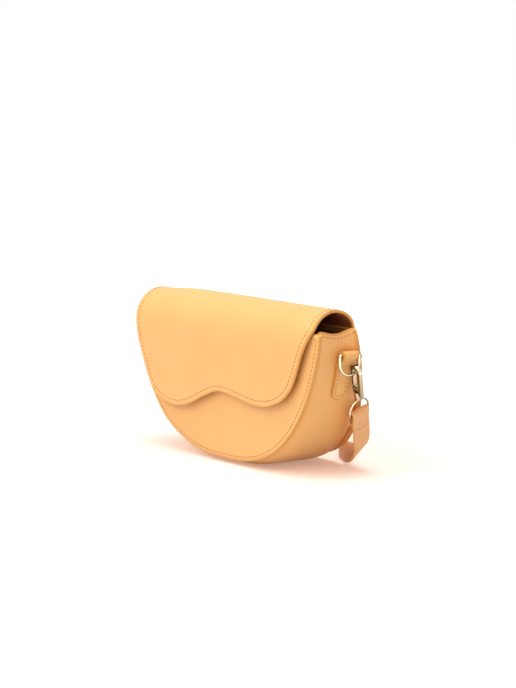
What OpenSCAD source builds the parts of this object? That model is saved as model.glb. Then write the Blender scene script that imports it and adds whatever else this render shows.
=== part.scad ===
// Half-moon saddle handbag with a waved flap and a clip-on strap.
// +X is the side that the right hook hangs on, -Y is the front, +Z is up.
// The origin is in the middle of the base, where the bag rests.

/* [Bag body] */
// Width of the bag across its mouth
body_w = 265; // [220:1:320]
// Height of the front panel, from its lowest edge to the mouth
panel_h = 119; // [105:1:150]
// Depth at the mouth, over both panels
mouth_d = 39; // [34:1:48]
// Depth at the base, over both panels
base_d = 80; // [60:1:95]
// How far the gusset's base hangs below the panels' edges
base_sag = 4; // [3:0.5:7]
// How far the back panel stands above the mouth
back_rise = 3; // [2:0.5:6]

/* [Leather and lining] */
// Thickness of the front and back panels
panel_t = 1.8; // [1.2:0.1:2.4]
// Thickness of the gusset
gusset_t = 1.6; // [1.2:0.1:2.2]
// Width of the seam that stands out round the panels
seam_w = 5; // [4:0.5:7]
// Thickness of the stiffening boards
board_t = 0.8; // [0.6:0.1:1.2]
// Thickness of the lining
lining_t = 0.8; // [0.6:0.1:1.2]
// Height of the slip pocket on the back lining
pocket_h = 70; // [50:1:85]
// Width of the slip pocket
pocket_w = 130; // [90:1:160]
// Thickness of the sewing thread
thread_d = 0.7; // [0.5:0.1:1]
// How far the stitches lie inside an edge
stitch_in = 3.2; // [2.5:0.1:4]

/* [Flap] */
// Thickness of the flap's outer leather
flap_t = 1.6; // [1.2:0.1:2.2]
// Thickness of the flap's own lining
flap_lining_t = 1; // [0.8:0.1:1.4]
// Height of the arch over the mouth
arch_rise = 19; // [12:0.5:24]
// How far below the mouth the arch becomes flat
shoulder_drop = 17; // [12:0.5:24]
// Height of the strip that is sewn to the back
root_h = 28; // [20:1:40]

/* [Magnetic snap] */
// Radius of the snap's socket
snap_r = 7; // [6:0.5:9]
// Thickness of the socket
socket_t = 2.2; // [1.8:0.1:3]
// Thickness of the plate under the stud
stud_base_t = 0.9; // [0.7:0.1:1.2]
// Radius of the stud
stud_r = 2; // [1.5:0.1:2.5]
// Radius of the recess that the stud enters
recess_r = 3.2; // [2.6:0.1:3.6]
// Thickness of the washers that the snap is bent over
washer_t = 0.5; // [0.4:0.1:0.7]
// Distance of the snap below the mouth
snap_drop = 37; // [24:1:49]

/* [Side tabs and D-rings] */
// Width of a side tab
tab_w = 17; // [13:0.5:17.2]
// Width of the tab's fold round the D-ring
fold_w = 13.6; // [11:0.2:15.4]
// Thickness of the tab's leather
tab_t = 1.8; // [1.4:0.1:2]
// How far the tab stands off the gusset at the D-ring
tab_lift = 2.4; // [1.8:0.1:3]
// Distance of the D-ring's bar below the mouth
bar_drop = 18; // [14:1:26]
// Length of the tab, from the bar to its round end
tab_len = 39; // [36:1:46]
// Length of the tab's turned end, from the bar down
turn_l = 9; // [8:0.5:12]
// Distance of the tab behind the front panel's face
tab_back = 31.2; // [28:0.2:33]
// Radius of the D-ring's wire
ring_r = 1.25; // [1:0.05:1.6]
// Width inside the D-ring
ring_in = 17.5; // [16.5:0.5:22]
// Straight length of the D-ring's sides
ring_leg = 7; // [5:0.5:9]

/* [Snap hooks] */
// Radius inside the hook's bend
jaw_r = 3.3; // [3.1:0.1:3.6]
// Thickness of the hook's bend and spine
spine_t = 3; // [2.4:0.1:3.4]
// Width of the hook's casting
hook_t = 3.4; // [3.2:0.1:3.8]
// Length of the hook's opening
jaw_l = 18; // [14:0.5:19]
// Height of the block that joins the spine to the barrel
block_h = 4.2; // [3.2:0.1:4.8]
// Length of the swivel's barrel
barrel_l = 4.8; // [3.4:0.1:5.4]
// Radius of the swivel's barrel
barrel_r = 3; // [2.8:0.1:3.6]
// Radius of the swivel's stem
stem_r = 1.2; // [1:0.05:1.4]
// Radius of the gate's pin
pin_r = 0.6; // [0.5:0.05:0.7]
// Running clearance of pins and stems
run_gap = 0.06; // [0.04:0.01:0.09]
// Radius of the swivel eye's wire
eye_r = 0.95; // [0.8:0.05:1.1]
// Straight length of the eye's sides
eye_leg = 2.5; // [2:0.5:4]

/* [Strap] */
// Width of the strap
strap_w = 18; // [14:0.5:20]
// Thickness of the strap
strap_t = 2.4; // [2:0.1:3]
// Length of the strap's end, from the eye's bar down
end_l = 14; // [12:0.5:18]
// Length of the layer that is turned back and sewn
turned_l = 11; // [9:0.5:13]
// Radius of the rivets through the strap's end
rivet_r = 0.9; // [0.7:0.1:1.2]

/* [Hidden] */
$fn = 48;

// Clearance between pieces that are glued or sewn together
fit_gap = 0.1;
// Clearance between soft pieces that move apart
skin_gap = 0.3;
// Overrun of a cut past the surface it goes through
cut = 1;
// Leather colours
apricot = [0.98, 0.74, 0.45];
apricot_dark = [0.93, 0.64, 0.36];
thread_col = [0.96, 0.72, 0.42];
lining_col = [0.45, 0.28, 0.18];
gold = [0.88, 0.78, 0.55];

// Outline of the panels, as the powers of its curve and steps on each side
side_power_share = 1.52;
base_power_share = 2.73;
rim_steps = 24;

base_gain = base_d - mouth_d;
// Everything in front of the front panel
flap_gap = socket_t + skin_gap + stud_base_t;
flap_all = flap_t + fit_gap + flap_lining_t;
front_y = (flap_gap + flap_all - base_d) / 2;
mouth_z = base_sag + panel_h;
lean = atan(base_gain / panel_h);
half_w = body_w / 2;

// Right half of the outline, from the mouth down to the middle of the base
function half_rim() = [for (i = [0:rim_steps]) let (a = 90 * i / rim_steps)
    [half_w * pow(cos(a), 2 / base_power_share), panel_h - panel_h * pow(sin(a), 2 / side_power_share)]];
right_rim = half_rim();
// Inward normal at each point of the right half
right_normals = [for (i = [0:rim_steps])
    i == 0 ? [-1, 0] : i == rim_steps ? [0, 1] :
    let (t = right_rim[i + 1] - right_rim[i - 1]) [t.y, -t.x] / norm(t)];
full_rim = concat(right_rim, [for (i = [rim_steps - 1:-1:0]) [-right_rim[i].x, right_rim[i].y]]);
full_normals = concat(right_normals, [for (i = [rim_steps - 1:-1:0]) [-right_normals[i].x, right_normals[i].y]]);
rim_last = len(full_rim) - 1;

// The outline drawn in by d
function rim_in(d) = [for (i = [0:rim_last]) full_rim[i] + full_normals[i] * d];
function flipped(v) = [for (i = [len(v) - 1:-1:0]) v[i]];
function stretched(v, k) = [for (p = v) [p.x, p.y * k]];
function front_of(z) = front_y + panel_t;
slant = 1 / cos(lean);
function back_of(z) = front_y + base_d - base_gain * z / panel_h - panel_t * slant;

// How far the gusset bulges out, at a share of its depth and a height on the panel
bulge_share = 1.15;
bulge_power_share = 6;
// The outside of the base is flat on the floor up to this height
base_flat = 1.4;
mouth_share = 0.93;
bulge = seam_w + base_sag * bulge_share;
function rise(share, z) = bulge * (1 - pow(2 * share - 1, bulge_power_share)) * (1 - mouth_share * z / panel_h);
wall_shares = [0.04, 0.11, 0.2, 0.35, 0.5, 0.65, 0.8, 0.89, 0.96];
// A point on a wall: outline point, inset, depth share, margins at front and back, lowest height, and
// how far above that height it still drops to it
function wall_at(i, d, share, m0, m1, low, flat = 0) = let (
        z = full_rim[i].y,
        p = full_rim[i] + full_normals[i] * (d - rise(share, z)),
        q = p.y < low + flat ? low : p.y,
        y0 = front_of(q) + m0,
        y1 = back_of(q) - m1 * slant)
    [p.x, y0 + (y1 - y0) * share, base_sag + q];
// A point on a flange that lies against the front or the back panel
function at_front(p, m) = [p.x, front_of(p.y) + m, base_sag + p.y];
function at_back(p, m) = [p.x, back_of(p.y) - m * slant, base_sag + p.y];

// A closed shell swept along the outline, from rings of points
module swept(rings) {
    n = len(rings);
    m = len(rings[0]);
    polyhedron(
        points = [for (r = rings) each r],
        faces = concat(
            [[for (j = [0:m - 1]) j]],
            [[for (j = [m - 1:-1:0]) (n - 1) * m + j]],
            [for (i = [0:n - 2]) for (j = [0:m - 1]) let (k = (j + 1) % m)
                each [[i * m + k, i * m + j, (i + 1) * m + j], [i * m + k, (i + 1) * m + j, (i + 1) * m + k]]]));
}

module on_front() translate([0, front_y, base_sag]) rotate([90, 0, 0]) children();
module on_back() translate([0, front_y + base_d, base_sag]) rotate([lean, 0, 0])
    mirror([0, 1, 0]) rotate([90, 0, 0]) children();
module sheet(d, k, top, t) linear_extrude(t) intersection() {
    polygon(stretched(concat(
        [[-half_w + d, panel_h + back_rise], [half_w - d, panel_h + back_rise]], rim_in(d)), k));
    translate([-half_w, 0]) square([body_w, (panel_h + top) * k]);
}

module front_panel() color(apricot) translate([0, panel_t, 0]) on_front() sheet(0, 1, 0, panel_t);
module back_panel() color(apricot) on_back() translate([0, 0, -panel_t]) sheet(0, slant, back_rise, panel_t);

module gusset() {
    d_in = seam_w + gusset_t;
    m = fit_gap + gusset_t;
    color(apricot_dark) swept([for (i = [0:rim_last]) let (
            p = full_rim[i], n = full_normals[i], f = p + n * seam_w, g = p + n * d_in)
        flipped(concat(
            [at_front(p, fit_gap), at_front(p, m), at_front(f, m)],
            [for (s = wall_shares) wall_at(i, seam_w, s, m, m, -base_sag, base_flat)],
            [at_back(f, m), at_back(p, m), at_back(p, fit_gap), at_back(g, fit_gap)],
            [for (s = flipped(wall_shares)) wall_at(i, d_in, s, m, m, gusset_t - base_sag)],
            [at_front(g, fit_gap)]))]);
}

// Inside layers: how far in each one starts
board_in = seam_w + gusset_t + fit_gap;
lining_y = board_t + 2 * fit_gap;
module front_board() color("tan") difference() {
    translate([0, panel_t + fit_gap + board_t, 0]) on_front() sheet(board_in, 1, -seam_w, board_t);
    at_snap() cylinder(r = snap_r + 2 * fit_gap + washer_t, h = 4 * panel_t, center = true);
}
// The back leans, so what lies deeper inside it starts higher up
function sunk(depth) = board_in + depth * sin(lean);
module back_board() color("tan") on_back() translate([0, 0, -panel_t - fit_gap - board_t])
    sheet(sunk(panel_t + fit_gap + board_t), slant, -seam_w, board_t);
module front_lining() color(lining_col)
    translate([0, panel_t + lining_y + lining_t, 0]) on_front() sheet(board_in, 1, -fit_gap, lining_t);
module back_lining() color(lining_col) on_back()
    translate([0, 0, -panel_t - lining_y - lining_t])
        sheet(sunk(panel_t + lining_y + lining_t), slant, -fit_gap, lining_t);

// Everything inside the gusset spans between the two linings
span_margin = lining_y + lining_t + fit_gap;
span_shares = [0.05, 0.12, 0.2, 0.35, 0.5, 0.65, 0.8, 0.88, 0.95];
module inner_wall(d, t, first, last, low) {
    swept([for (i = [first:last]) concat(
        [for (s = span_shares) wall_at(i, d, s, span_margin, span_margin, low)],
        [for (s = flipped(span_shares)) wall_at(i, d + t, s, span_margin, span_margin, low + t)])]);
}
base_board_in = seam_w + gusset_t + fit_gap;
module base_board() color("tan")
    inner_wall(base_board_in, board_t, 13, rim_last - 13, gusset_t + fit_gap - base_sag);
module gusset_lining() color(lining_col)
    inner_wall(base_board_in + board_t + fit_gap, lining_t, 0, rim_last,
        gusset_t + board_t + 2 * fit_gap - base_sag);

module slip_pocket() color(lining_col) on_back()
    translate([-pocket_w / 2, (panel_h - pocket_h - 4 * seam_w) * slant, -panel_t - lining_y - 2 * lining_t - fit_gap])
        cube([pocket_w, pocket_h, lining_t]);

// Thread: a low cord laid along the stitch line
function band(d) = concat(rim_in(d), flipped(rim_in(d + thread_d)));
thread_h = thread_d / 2;
module front_seam_thread() color(thread_col) on_front()
    linear_extrude(thread_h) polygon(band(stitch_in - thread_d / 2));
module back_seam_thread() color(thread_col) on_back()
    linear_extrude(thread_h) polygon(stretched(band(stitch_in - thread_d / 2), slant));
module mouth_thread() color(thread_col) for (s = [-1, 1]) {
    x = half_w - seam_w + rise(0.5, panel_h - stitch_in) + fit_gap;
    y0 = front_y + panel_t + 2 * gusset_t;
    translate([s > 0 ? x : -x - thread_h, y0, mouth_z - stitch_in - thread_d])
        cube([thread_h, mouth_d - 2 * (panel_t + 2 * gusset_t), thread_d]);
}

// Flap
flap_in_y = front_y - flap_gap;
flap_out_y = flap_in_y - flap_lining_t - fit_gap - flap_t;
back_top_y = front_y + mouth_d - base_gain * back_rise / panel_h;
back_top_z = mouth_z + back_rise;
hinge_y = back_top_y + fit_gap + flap_all;
hinge_z = back_top_z;
arch_top = mouth_z + arch_rise;
peak_share = 0.56;
peak_y = flap_out_y + (hinge_y - flap_out_y) * peak_share;
shoulder_z = mouth_z - shoulder_drop;
function bez(p, t) = p[0] * pow(1 - t, 3) + 3 * p[1] * t * pow(1 - t, 2) + 3 * p[2] * t * t * (1 - t) + p[3] * pow(t, 3);
back_grip_share = 0.5;
arch_back = [[hinge_y, hinge_z + skin_gap], [hinge_y, hinge_z + (arch_top - hinge_z) * 0.58],
    [peak_y + (hinge_y - peak_y) * back_grip_share, arch_top], [peak_y, arch_top]];
arch_front = [[peak_y, arch_top], [peak_y - (peak_y - flap_out_y) * 0.46, arch_top],
    [flap_out_y, shoulder_z + (arch_top - shoulder_z) * 0.72], [flap_out_y, shoulder_z]];
arch_steps = 10;
flap_low = base_sag + panel_h * 0.2;
arch_line = concat(
    [for (i = [0:arch_steps]) bez(arch_back, i / arch_steps)],
    [for (i = [1:arch_steps]) bez(arch_front, i / arch_steps)],
    [[flap_out_y, flap_low]]);
function line_in(v, d) = [for (i = [0:len(v) - 1]) let (
        t = v[min(i + 1, len(v) - 1)] - v[max(i - 1, 0)]) v[i] + [t.y, -t.x] / norm(t) * -d];
function layer(d, t) = concat(line_in(arch_line, d), flipped(line_in(arch_line, d + t)));

// Edge of the flap seen from the front: shares of half the width and of the panel's height
flap_edge_shares = [
    [0.958, 1.2], [0.958, 1.1], [0.955, 1.03], [0.932, 0.983], [0.882, 0.875], [0.838, 0.766], [0.785, 0.636],
    [0.734, 0.564], [0.651, 0.497], [0.526, 0.449], [0.42, 0.44], [0.336, 0.446], [0.229, 0.462],
    [0.12, 0.48], [0.03, 0.488], [-0.05, 0.478], [-0.13, 0.447], [-0.213, 0.41], [-0.327, 0.355],
    [-0.45, 0.322], [-0.558, 0.32], [-0.66, 0.348], [-0.735, 0.385], [-0.772, 0.43], [-0.805, 0.5],
    [-0.845, 0.6], [-0.89, 0.69], [-0.925, 0.785], [-0.948, 0.884], [-0.957, 0.96], [-0.963, 1.03],
    [-0.965, 1.1], [-0.965, 1.2]
];
edge_last = len(flap_edge_shares) - 1;
edge_steps = 3;
function edge_at(i) = let (s = flap_edge_shares[min(max(i, 0), edge_last)])
    [s.x * half_w, base_sag + s.y * panel_h];
function catmull(a, b, c, d, t) = 0.5 * (2 * b + (c - a) * t + (2 * a - 5 * b + 4 * c - d) * t * t
    + (3 * b - a - 3 * c + d) * t * t * t);
flap_edge = concat(
    [for (i = [0:edge_last - 1]) for (k = [0:edge_steps - 1])
        catmull(edge_at(i - 1), edge_at(i), edge_at(i + 1), edge_at(i + 2), k / edge_steps)],
    [edge_at(edge_last)]);
module flap_cut(d = 0) translate([0, front_y + base_d, 0]) rotate([90, 0, 0])
    linear_extrude(2 * base_d) polygon(d == 0 ? flap_edge : line_in(flap_edge, -d));
module flap_layer(d, t) intersection() {
    rotate([90, 0, 90]) linear_extrude(2 * body_w, center = true) polygon(layer(d, t));
    flap_cut();
}
snap_z = mouth_z - snap_drop;
module at_snap() translate([0, front_y, snap_z]) rotate([90, 0, 0]) children();

module flap() color(apricot) flap_layer(0, flap_t);
module flap_lining() color(apricot_dark) difference() {
    flap_layer(flap_t + fit_gap, flap_lining_t);
    at_snap() translate([0, 0, flap_gap + flap_lining_t - washer_t])
        cylinder(r = snap_r + fit_gap, h = flap_lining_t);
}
module flap_thread() color(thread_col) intersection() {
    translate([0, flap_out_y, 0]) rotate([90, 0, 0]) linear_extrude(thread_h)
        polygon(concat(line_in(flap_edge, -stitch_in), flipped(line_in(flap_edge, -stitch_in - thread_d))));
    translate([-half_w, flap_out_y - base_sag, flap_low])
        cube([body_w, 2 * base_sag, shoulder_z - flap_low]);
}
root_share = 0.97;
root_top = (panel_h + back_rise) * slant - (fit_gap + flap_all) * tan(lean) - 2 * fit_gap;
module flap_root() color(apricot) on_back() translate([0, 0, fit_gap]) intersection() {
    sheet(stitch_in + thread_d, slant, back_rise, flap_all);
    translate([-half_w, root_top - root_h, -cut]) cube([body_w, root_h, flap_all + 2 * cut]);
}
module flap_root_thread() color(thread_col) on_back()
    translate([-half_w * root_share + 2 * stitch_in, root_top - root_h + stitch_in, fit_gap + flap_all])
        cube([body_w * root_share - 4 * stitch_in, thread_d, thread_h]);

module snap_socket() color(gold) at_snap() difference() {
    cylinder(r = snap_r, h = socket_t);
    translate([0, 0, socket_t / 4]) cylinder(r = recess_r, h = socket_t);
}
module snap_socket_washer() color("silver") at_snap() translate([0, 0, -panel_t - fit_gap - washer_t])
    difference() {
        cylinder(r = snap_r + fit_gap, h = washer_t);
        translate([0, 0, -cut]) cylinder(r = stud_r, h = washer_t + 2 * cut);
    }
module snap_stud() color(gold) at_snap() translate([0, 0, socket_t + skin_gap]) {
    cylinder(r = snap_r - washer_t, h = stud_base_t);
    translate([0, 0, -skin_gap - socket_t / 4]) cylinder(r = stud_r, h = skin_gap + socket_t / 2);
}
module snap_stud_washer() color("silver")
    at_snap() translate([0, 0, flap_gap + flap_lining_t - washer_t + fit_gap / 2]) difference() {
        cylinder(r = snap_r, h = washer_t);
        translate([0, 0, -cut]) cylinder(r = stud_r, h = washer_t + 2 * cut);
    }

// Side tabs, drawn for the right side
module to_side(left) {
    if (left) mirror([1, 0, 0]) children();
    else children();
}
crest = [for (i = [rim_steps:-1:0]) let (z = right_rim[i].y,
        p = right_rim[i] + right_normals[i] * (seam_w - rise(0.5, z))) [base_sag + p.y, p.x]];
function crest_x(z) = lookup(z, crest);
tab_y = front_y + tab_back;
bar_z = mouth_z - bar_drop;
tab_end_z = bar_z - tab_len;
fold_in = ring_r + fit_gap;
fold_out = fold_in + tab_t;
bar_x = crest_x(bar_z) + 2 * fit_gap + fold_out + tab_lift;
tab_steps = 8;
turn_z = bar_z - turn_l;
function lift_at(z) = tab_lift * max(0, (z - turn_z) / turn_l);
strip_line = [for (i = [0:tab_steps]) let (z = tab_end_z + (bar_z - tab_end_z) * i / tab_steps)
    [crest_x(z) + 2 * fit_gap + lift_at(z), z]];
function moved(v, d) = [for (p = v) [p.x + d, p.y]];
module strip_profile() polygon(concat(moved(strip_line, tab_t), flipped(strip_line)));
module turn_profile() polygon([
    [crest_x(turn_z) + tab_t, turn_z], [crest_x(turn_z) + 2 * tab_t + fit_gap, turn_z],
    [bar_x + fold_in, bar_z - fold_in], [bar_x + fold_out, bar_z], [bar_x + fold_in, bar_z],
    [bar_x - fold_in / 2, bar_z - fold_out],
    [crest_x(bar_z - fold_out) + lift_at(bar_z - fold_out) + tab_t, bar_z - fold_out]]);
module round_end(w, z0, z1) rotate([90, 0, 90]) linear_extrude(body_w) {
    translate([-w / 2, z0 + w / 2]) square([w, z1 - z0 - w / 2]);
    translate([0, z0 + w / 2]) circle(r = w / 2);
}
module tab(left) color(apricot_dark) to_side(left) translate([0, tab_y, 0]) difference() {
    union() {
        intersection() {
            along_y(tab_w) strip_profile();
            union() {
                round_end(tab_w, tab_end_z, bar_z - fold_w / 2);
                round_end(fold_w, tab_end_z, arch_top);
            }
        }
        along_y(fold_w) turn_profile();
        translate([bar_x, 0, bar_z]) rotate([90, 0, 0]) cylinder(r = fold_out, h = fold_w, center = true);
    }
    translate([bar_x, 0, bar_z]) rotate([90, 0, 0]) cylinder(r = fold_in, h = tab_w + 2 * cut, center = true);
}
module tab_thread(left) {
    w = tab_w - 2 * stitch_in;
    color(thread_col) to_side(left) translate([0, tab_y, 0]) intersection() {
        rotate([90, 0, 0]) linear_extrude(tab_w, center = true)
            polygon(concat(moved(strip_line, tab_t + thread_h), flipped(moved(strip_line, tab_t))));
        difference() {
            round_end(w + thread_d, tab_end_z + stitch_in, tab_end_z + tab_w);
            translate([-cut, 0, 0]) round_end(w - thread_d, tab_end_z + stitch_in + thread_d, tab_end_z + 2 * tab_w);
        }
    }
}

// A wire loop with one straight side on top and a round bottom, in the YZ plane
module wire_loop(r, half, leg, cap_h) {
    rotate([90, 0, 0]) cylinder(r = r, h = 2 * half, center = true);
    for (s = [-1, 1]) {
        translate([0, s * half, -leg]) cylinder(r = r, h = leg);
        translate([0, s * half, 0]) sphere(r = r);
    }
    translate([0, 0, -leg]) rotate([0, 90, 0]) rotate([0, 0, -90])
        rotate_extrude(angle = 180) translate([half, 0]) circle(r = r);
}
ring_half = ring_in / 2 + ring_r;
module d_ring(left) color(gold) to_side(left) translate([bar_x, tab_y, bar_z])
    wire_loop(ring_r, ring_half, ring_leg);

// Hooks hang from a point on the D-ring's round side
hang_share = 0.68;
hang_y = ring_half * hang_share;
hang_z = bar_z - ring_leg - sqrt(ring_half * ring_half - hang_y * hang_y);
hook_back = 20;
hook_in = 21.5;
strap_turn = 8;
module at_hook(left, turn = 0) to_side(left) translate([bar_x, tab_y + hang_y, hang_z])
    rotate([hook_back, hook_in, 0]) translate([axis_x, 0, 0]) rotate([0, 0, turn])
        translate([-axis_x, 0, 0]) children();
// Places inside the hook, from the point where it hangs
jaw_side_share = 0.2;
jaw_drop_share = 0.1;
jaw_x = jaw_r * jaw_side_share;
jaw_z = -jaw_r * jaw_drop_share;
gate_t = 2.2;
gate_w = 2;
spine_x = jaw_x + jaw_r + spine_t / 2;
gate_x = jaw_x - jaw_r - gate_t / 2;
block_z = jaw_z - jaw_l;
pin_z = block_z + gate_t / 2 - block_h / 4;
barrel_z = block_z - block_h;
axis_x = (spine_x + gate_x) / 2;
nose_z = jaw_z - jaw_r / 2;
cheek_gap = 0.15;
module along_y(h) rotate([90, 0, 0]) linear_extrude(h, center = true) children();
module hook_body(left) color(gold) at_hook(left) difference() {
    union() {
        along_y(hook_t) {
            difference() {
                translate([jaw_x, jaw_z]) circle(r = jaw_r + spine_t);
                translate([jaw_x, jaw_z]) circle(r = jaw_r);
                translate([jaw_x - 2 * jaw_l, jaw_z - 2 * jaw_l]) square([4 * jaw_l, 2 * jaw_l]);
            }
            translate([jaw_x + jaw_r, block_z - block_h]) square([spine_t, jaw_l + block_h]);
            translate([gate_x - gate_t / 2, nose_z]) square([gate_t, jaw_z - nose_z + spine_t]);
            translate([gate_x, block_z - block_h]) square([spine_x - gate_x, block_h]);
        }
        along_y(hook_t) translate([gate_x, pin_z]) circle(r = gate_t / 2 + cheek_gap);
        translate([axis_x, 0, barrel_z - barrel_l]) cylinder(r = barrel_r, h = barrel_l + block_h / 2);
    }
    translate([gate_x, 0, pin_z]) rotate([90, 0, 0]) cylinder(r = pin_r, h = 2 * hook_t, center = true);
    translate([gate_x, 0, pin_z]) cube([2 * gate_t, gate_w + 2 * cheek_gap, 2 * gate_t + 2 * cheek_gap], center = true);
    translate([gate_x - gate_t, -gate_w / 2 - cheek_gap, pin_z])
        cube([2 * gate_t, gate_w + 2 * cheek_gap, block_h]);
    translate([axis_x, 0, barrel_z - barrel_l - cut]) cylinder(r = stem_r + run_gap, h = barrel_l + block_h + 2 * cut);
    translate([axis_x, 0, barrel_z - barrel_l / 4])
        cylinder(r = 1.5 * stem_r + run_gap, h = barrel_l + block_h);
}
module gate_pin(left) color("silver") at_hook(left) translate([gate_x, 0, pin_z]) rotate([90, 0, 0])
    cylinder(r = pin_r, h = hook_t, center = true);
module gate(left) color(gold) at_hook(left) difference() {
    union() {
        translate([gate_x, 0, pin_z]) rotate([90, 0, 0]) cylinder(r = gate_t / 2, h = gate_w, center = true);
        translate([gate_x - gate_t / 2, -gate_w / 2, pin_z])
            cube([gate_t, gate_w, nose_z - cheek_gap - pin_z]);
        translate([gate_x - gate_t / 2, -hook_t / 2, pin_z + 1.5 * gate_t])
            cube([gate_t, hook_t, nose_z - cheek_gap - pin_z - 1.5 * gate_t]);
    }
    translate([gate_x, 0, pin_z]) rotate([90, 0, 0])
        cylinder(r = pin_r + run_gap, h = gate_w + 2 * cut, center = true);
    translate([gate_x, gate_w / 2, pin_z]) rotate([90, 0, 0]) cylinder(r = 1.5 * pin_r, h = gate_w / 2);
}
module gate_spring(left) color("silver") at_hook(left) translate([gate_x, gate_w / 2, pin_z]) rotate([90, 0, 0])
    difference() {
        cylinder(r = 1.5 * pin_r - run_gap, h = gate_w / 2 - run_gap);
        translate([0, 0, -cut]) cylinder(r = pin_r + run_gap, h = gate_w + 2 * cut);
    }

eye_half = strap_w / 2 + fit_gap + skin_gap + eye_r;
collar_z = barrel_z - barrel_l - run_gap;
eye_top_z = collar_z - stem_r;
bar_down = eye_top_z - eye_half - eye_leg;
module swivel_eye(left) color(gold) at_hook(left, strap_turn) translate([axis_x, 0, 0]) {
    translate([0, 0, bar_down]) rotate([180, 0, 0]) wire_loop(eye_r, eye_half, eye_leg);
    translate([0, 0, eye_top_z - stem_r]) cylinder(r = 1.5 * stem_r, h = collar_z - eye_top_z + stem_r);
    translate([0, 0, collar_z - cut]) cylinder(r = stem_r, h = barrel_l + block_h / 2 + cut);
    translate([0, 0, barrel_z - barrel_l / 4 + run_gap]) cylinder(r = 1.5 * stem_r, h = barrel_l / 3);
}

// The strap's end is folded round the eye's bar
loop_in = eye_r + fit_gap;
loop_out = loop_in + strap_t;
rivet_share = 0.78;
module strap_end(left) color(apricot) at_hook(left, strap_turn) translate([axis_x, 0, bar_down]) difference() {
    along_y(strap_w) {
        circle(r = loop_out);
        polygon([
            [-loop_out, 0], [-strap_t, -2 * loop_out], [-strap_t, -turned_l], [0, -turned_l], [0, -end_l],
            [strap_t, -end_l], [strap_t, -2 * loop_out], [loop_out, 0]]);
    }
    rotate([90, 0, 0]) cylinder(r = loop_in, h = strap_w + 2 * cut, center = true);
    for (s = [-1, 1]) translate([0, s * strap_w / 5, -turned_l * rivet_share]) rotate([0, 90, 0])
        cylinder(r = rivet_r, h = 4 * loop_out, center = true);
}
module strap_rivets(left) color(gold) at_hook(left, strap_turn) translate([axis_x, 0, bar_down])
    for (s = [-1, 1]) translate([-strap_t, s * strap_w / 5, -turned_l * rivet_share]) rotate([0, 90, 0])
        cylinder(r = rivet_r, h = 2 * strap_t);

// Route of the strap's middle line, in millimetres: down from the right hook, along the
// floor behind the bag in flat turns on its edge, and up to the left hook
strap_z = 9.2;
turn_r = 12;
function turn(x, y, way) = [for (a = [-90:30:90]) [x + way * turn_r * cos(a), y + turn_r * sin(a), strap_z]];
strap_route = concat(
    [[115.1, 20.3, 41.3], [112.6, 22.7, 35.1], [109.8, 25.2, 28.2], [105.4, 28, 21.2], [97.2, 31.6, 16.1],
     [84, 36.2, 12.8], [70, 42, 10.8], [55, 49, 9.6], [38, 58, strap_z], [20, 73, strap_z], [3, 89, strap_z], [-15, 105, strap_z],
     [-35, 120, strap_z], [-55, 132, strap_z], [-78, 141, strap_z], [-102, 146, strap_z]],
    flipped(turn(-150, 135, -1)), flipped(turn(-62, 111, 1)),
    flipped(turn(-146, 87, -1)), flipped(turn(-34, 63, 1)),
    [[-55, 48, 9.6], [-70, 42, 10.8], [-84, 36.2, 12.8], [-97.2, 31.6, 16.1], [-105.4, 28, 21.2],
     [-109.8, 25.2, 28.2], [-112.6, 22.7, 35.1], [-115.1, 20.3, 41.3]]);
// Direction across the strap at the first points, mirrored for the last ones
strap_across = [
    [-0.005, 0.931, 0.366], [-0.005, 0.931, 0.366], [-0.04, 0.92, 0.38], [-0.1, 0.89, 0.42], [-0.1, 0.75, 0.65],
    [-0.06, 0.5, 0.85], [-0.03, 0.25, 0.95], [0, 0, 1]
];
route_last = len(strap_route) - 1;
across_last = len(strap_across) - 1;
function across_at(i) = let (a = strap_across[min(i, route_last - i, across_last)])
    i * 2 < route_last ? a : [-a.x, a.y, a.z];
function unit(v) = v / norm(v);
module strap() color(apricot) swept([for (i = [0:route_last]) let (
        c = strap_route[i],
        t = unit(strap_route[min(i + 1, route_last)] - strap_route[max(i - 1, 0)]),
        a = across_at(i),
        w = unit(a - t * (a * t)) * strap_w / 2,
        n = unit(cross(t, w)) * strap_t / 2)
    [c + w + n, c - w + n, c - w - n, c + w - n]]);

front_panel();
back_panel();
gusset();
front_board();
back_board();
base_board();
front_lining();
back_lining();
gusset_lining();
slip_pocket();
front_seam_thread();
back_seam_thread();
mouth_thread();
flap_root();
flap_root_thread();
flap();
flap_lining();
flap_thread();
snap_socket();
snap_socket_washer();
snap_stud();
snap_stud_washer();
tab(false);  // tab_right
tab(true);  // tab_left
tab_thread(false);  // tab_thread_right
tab_thread(true);  // tab_thread_left
d_ring(false);  // d_ring_right
d_ring(true);  // d_ring_left
hook_body(false);  // hook_body_right
hook_body(true);  // hook_body_left
gate(false);  // gate_right
gate(true);  // gate_left
gate_pin(false);  // gate_pin_right
gate_pin(true);  // gate_pin_left
gate_spring(false);  // gate_spring_right
gate_spring(true);  // gate_spring_left
swivel_eye(false);  // swivel_eye_right
swivel_eye(true);  // swivel_eye_left
strap_end(false);  // strap_end_right
strap_end(true);  // strap_end_left
strap_rivets(false);  // strap_rivets_right
strap_rivets(true);  // strap_rivets_left
strap();
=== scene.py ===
from math import atan2, copysign, cos, pi, radians, sin, sqrt, tan
import bpy
import bmesh
from mathutils import Matrix, Vector, noise


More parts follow.
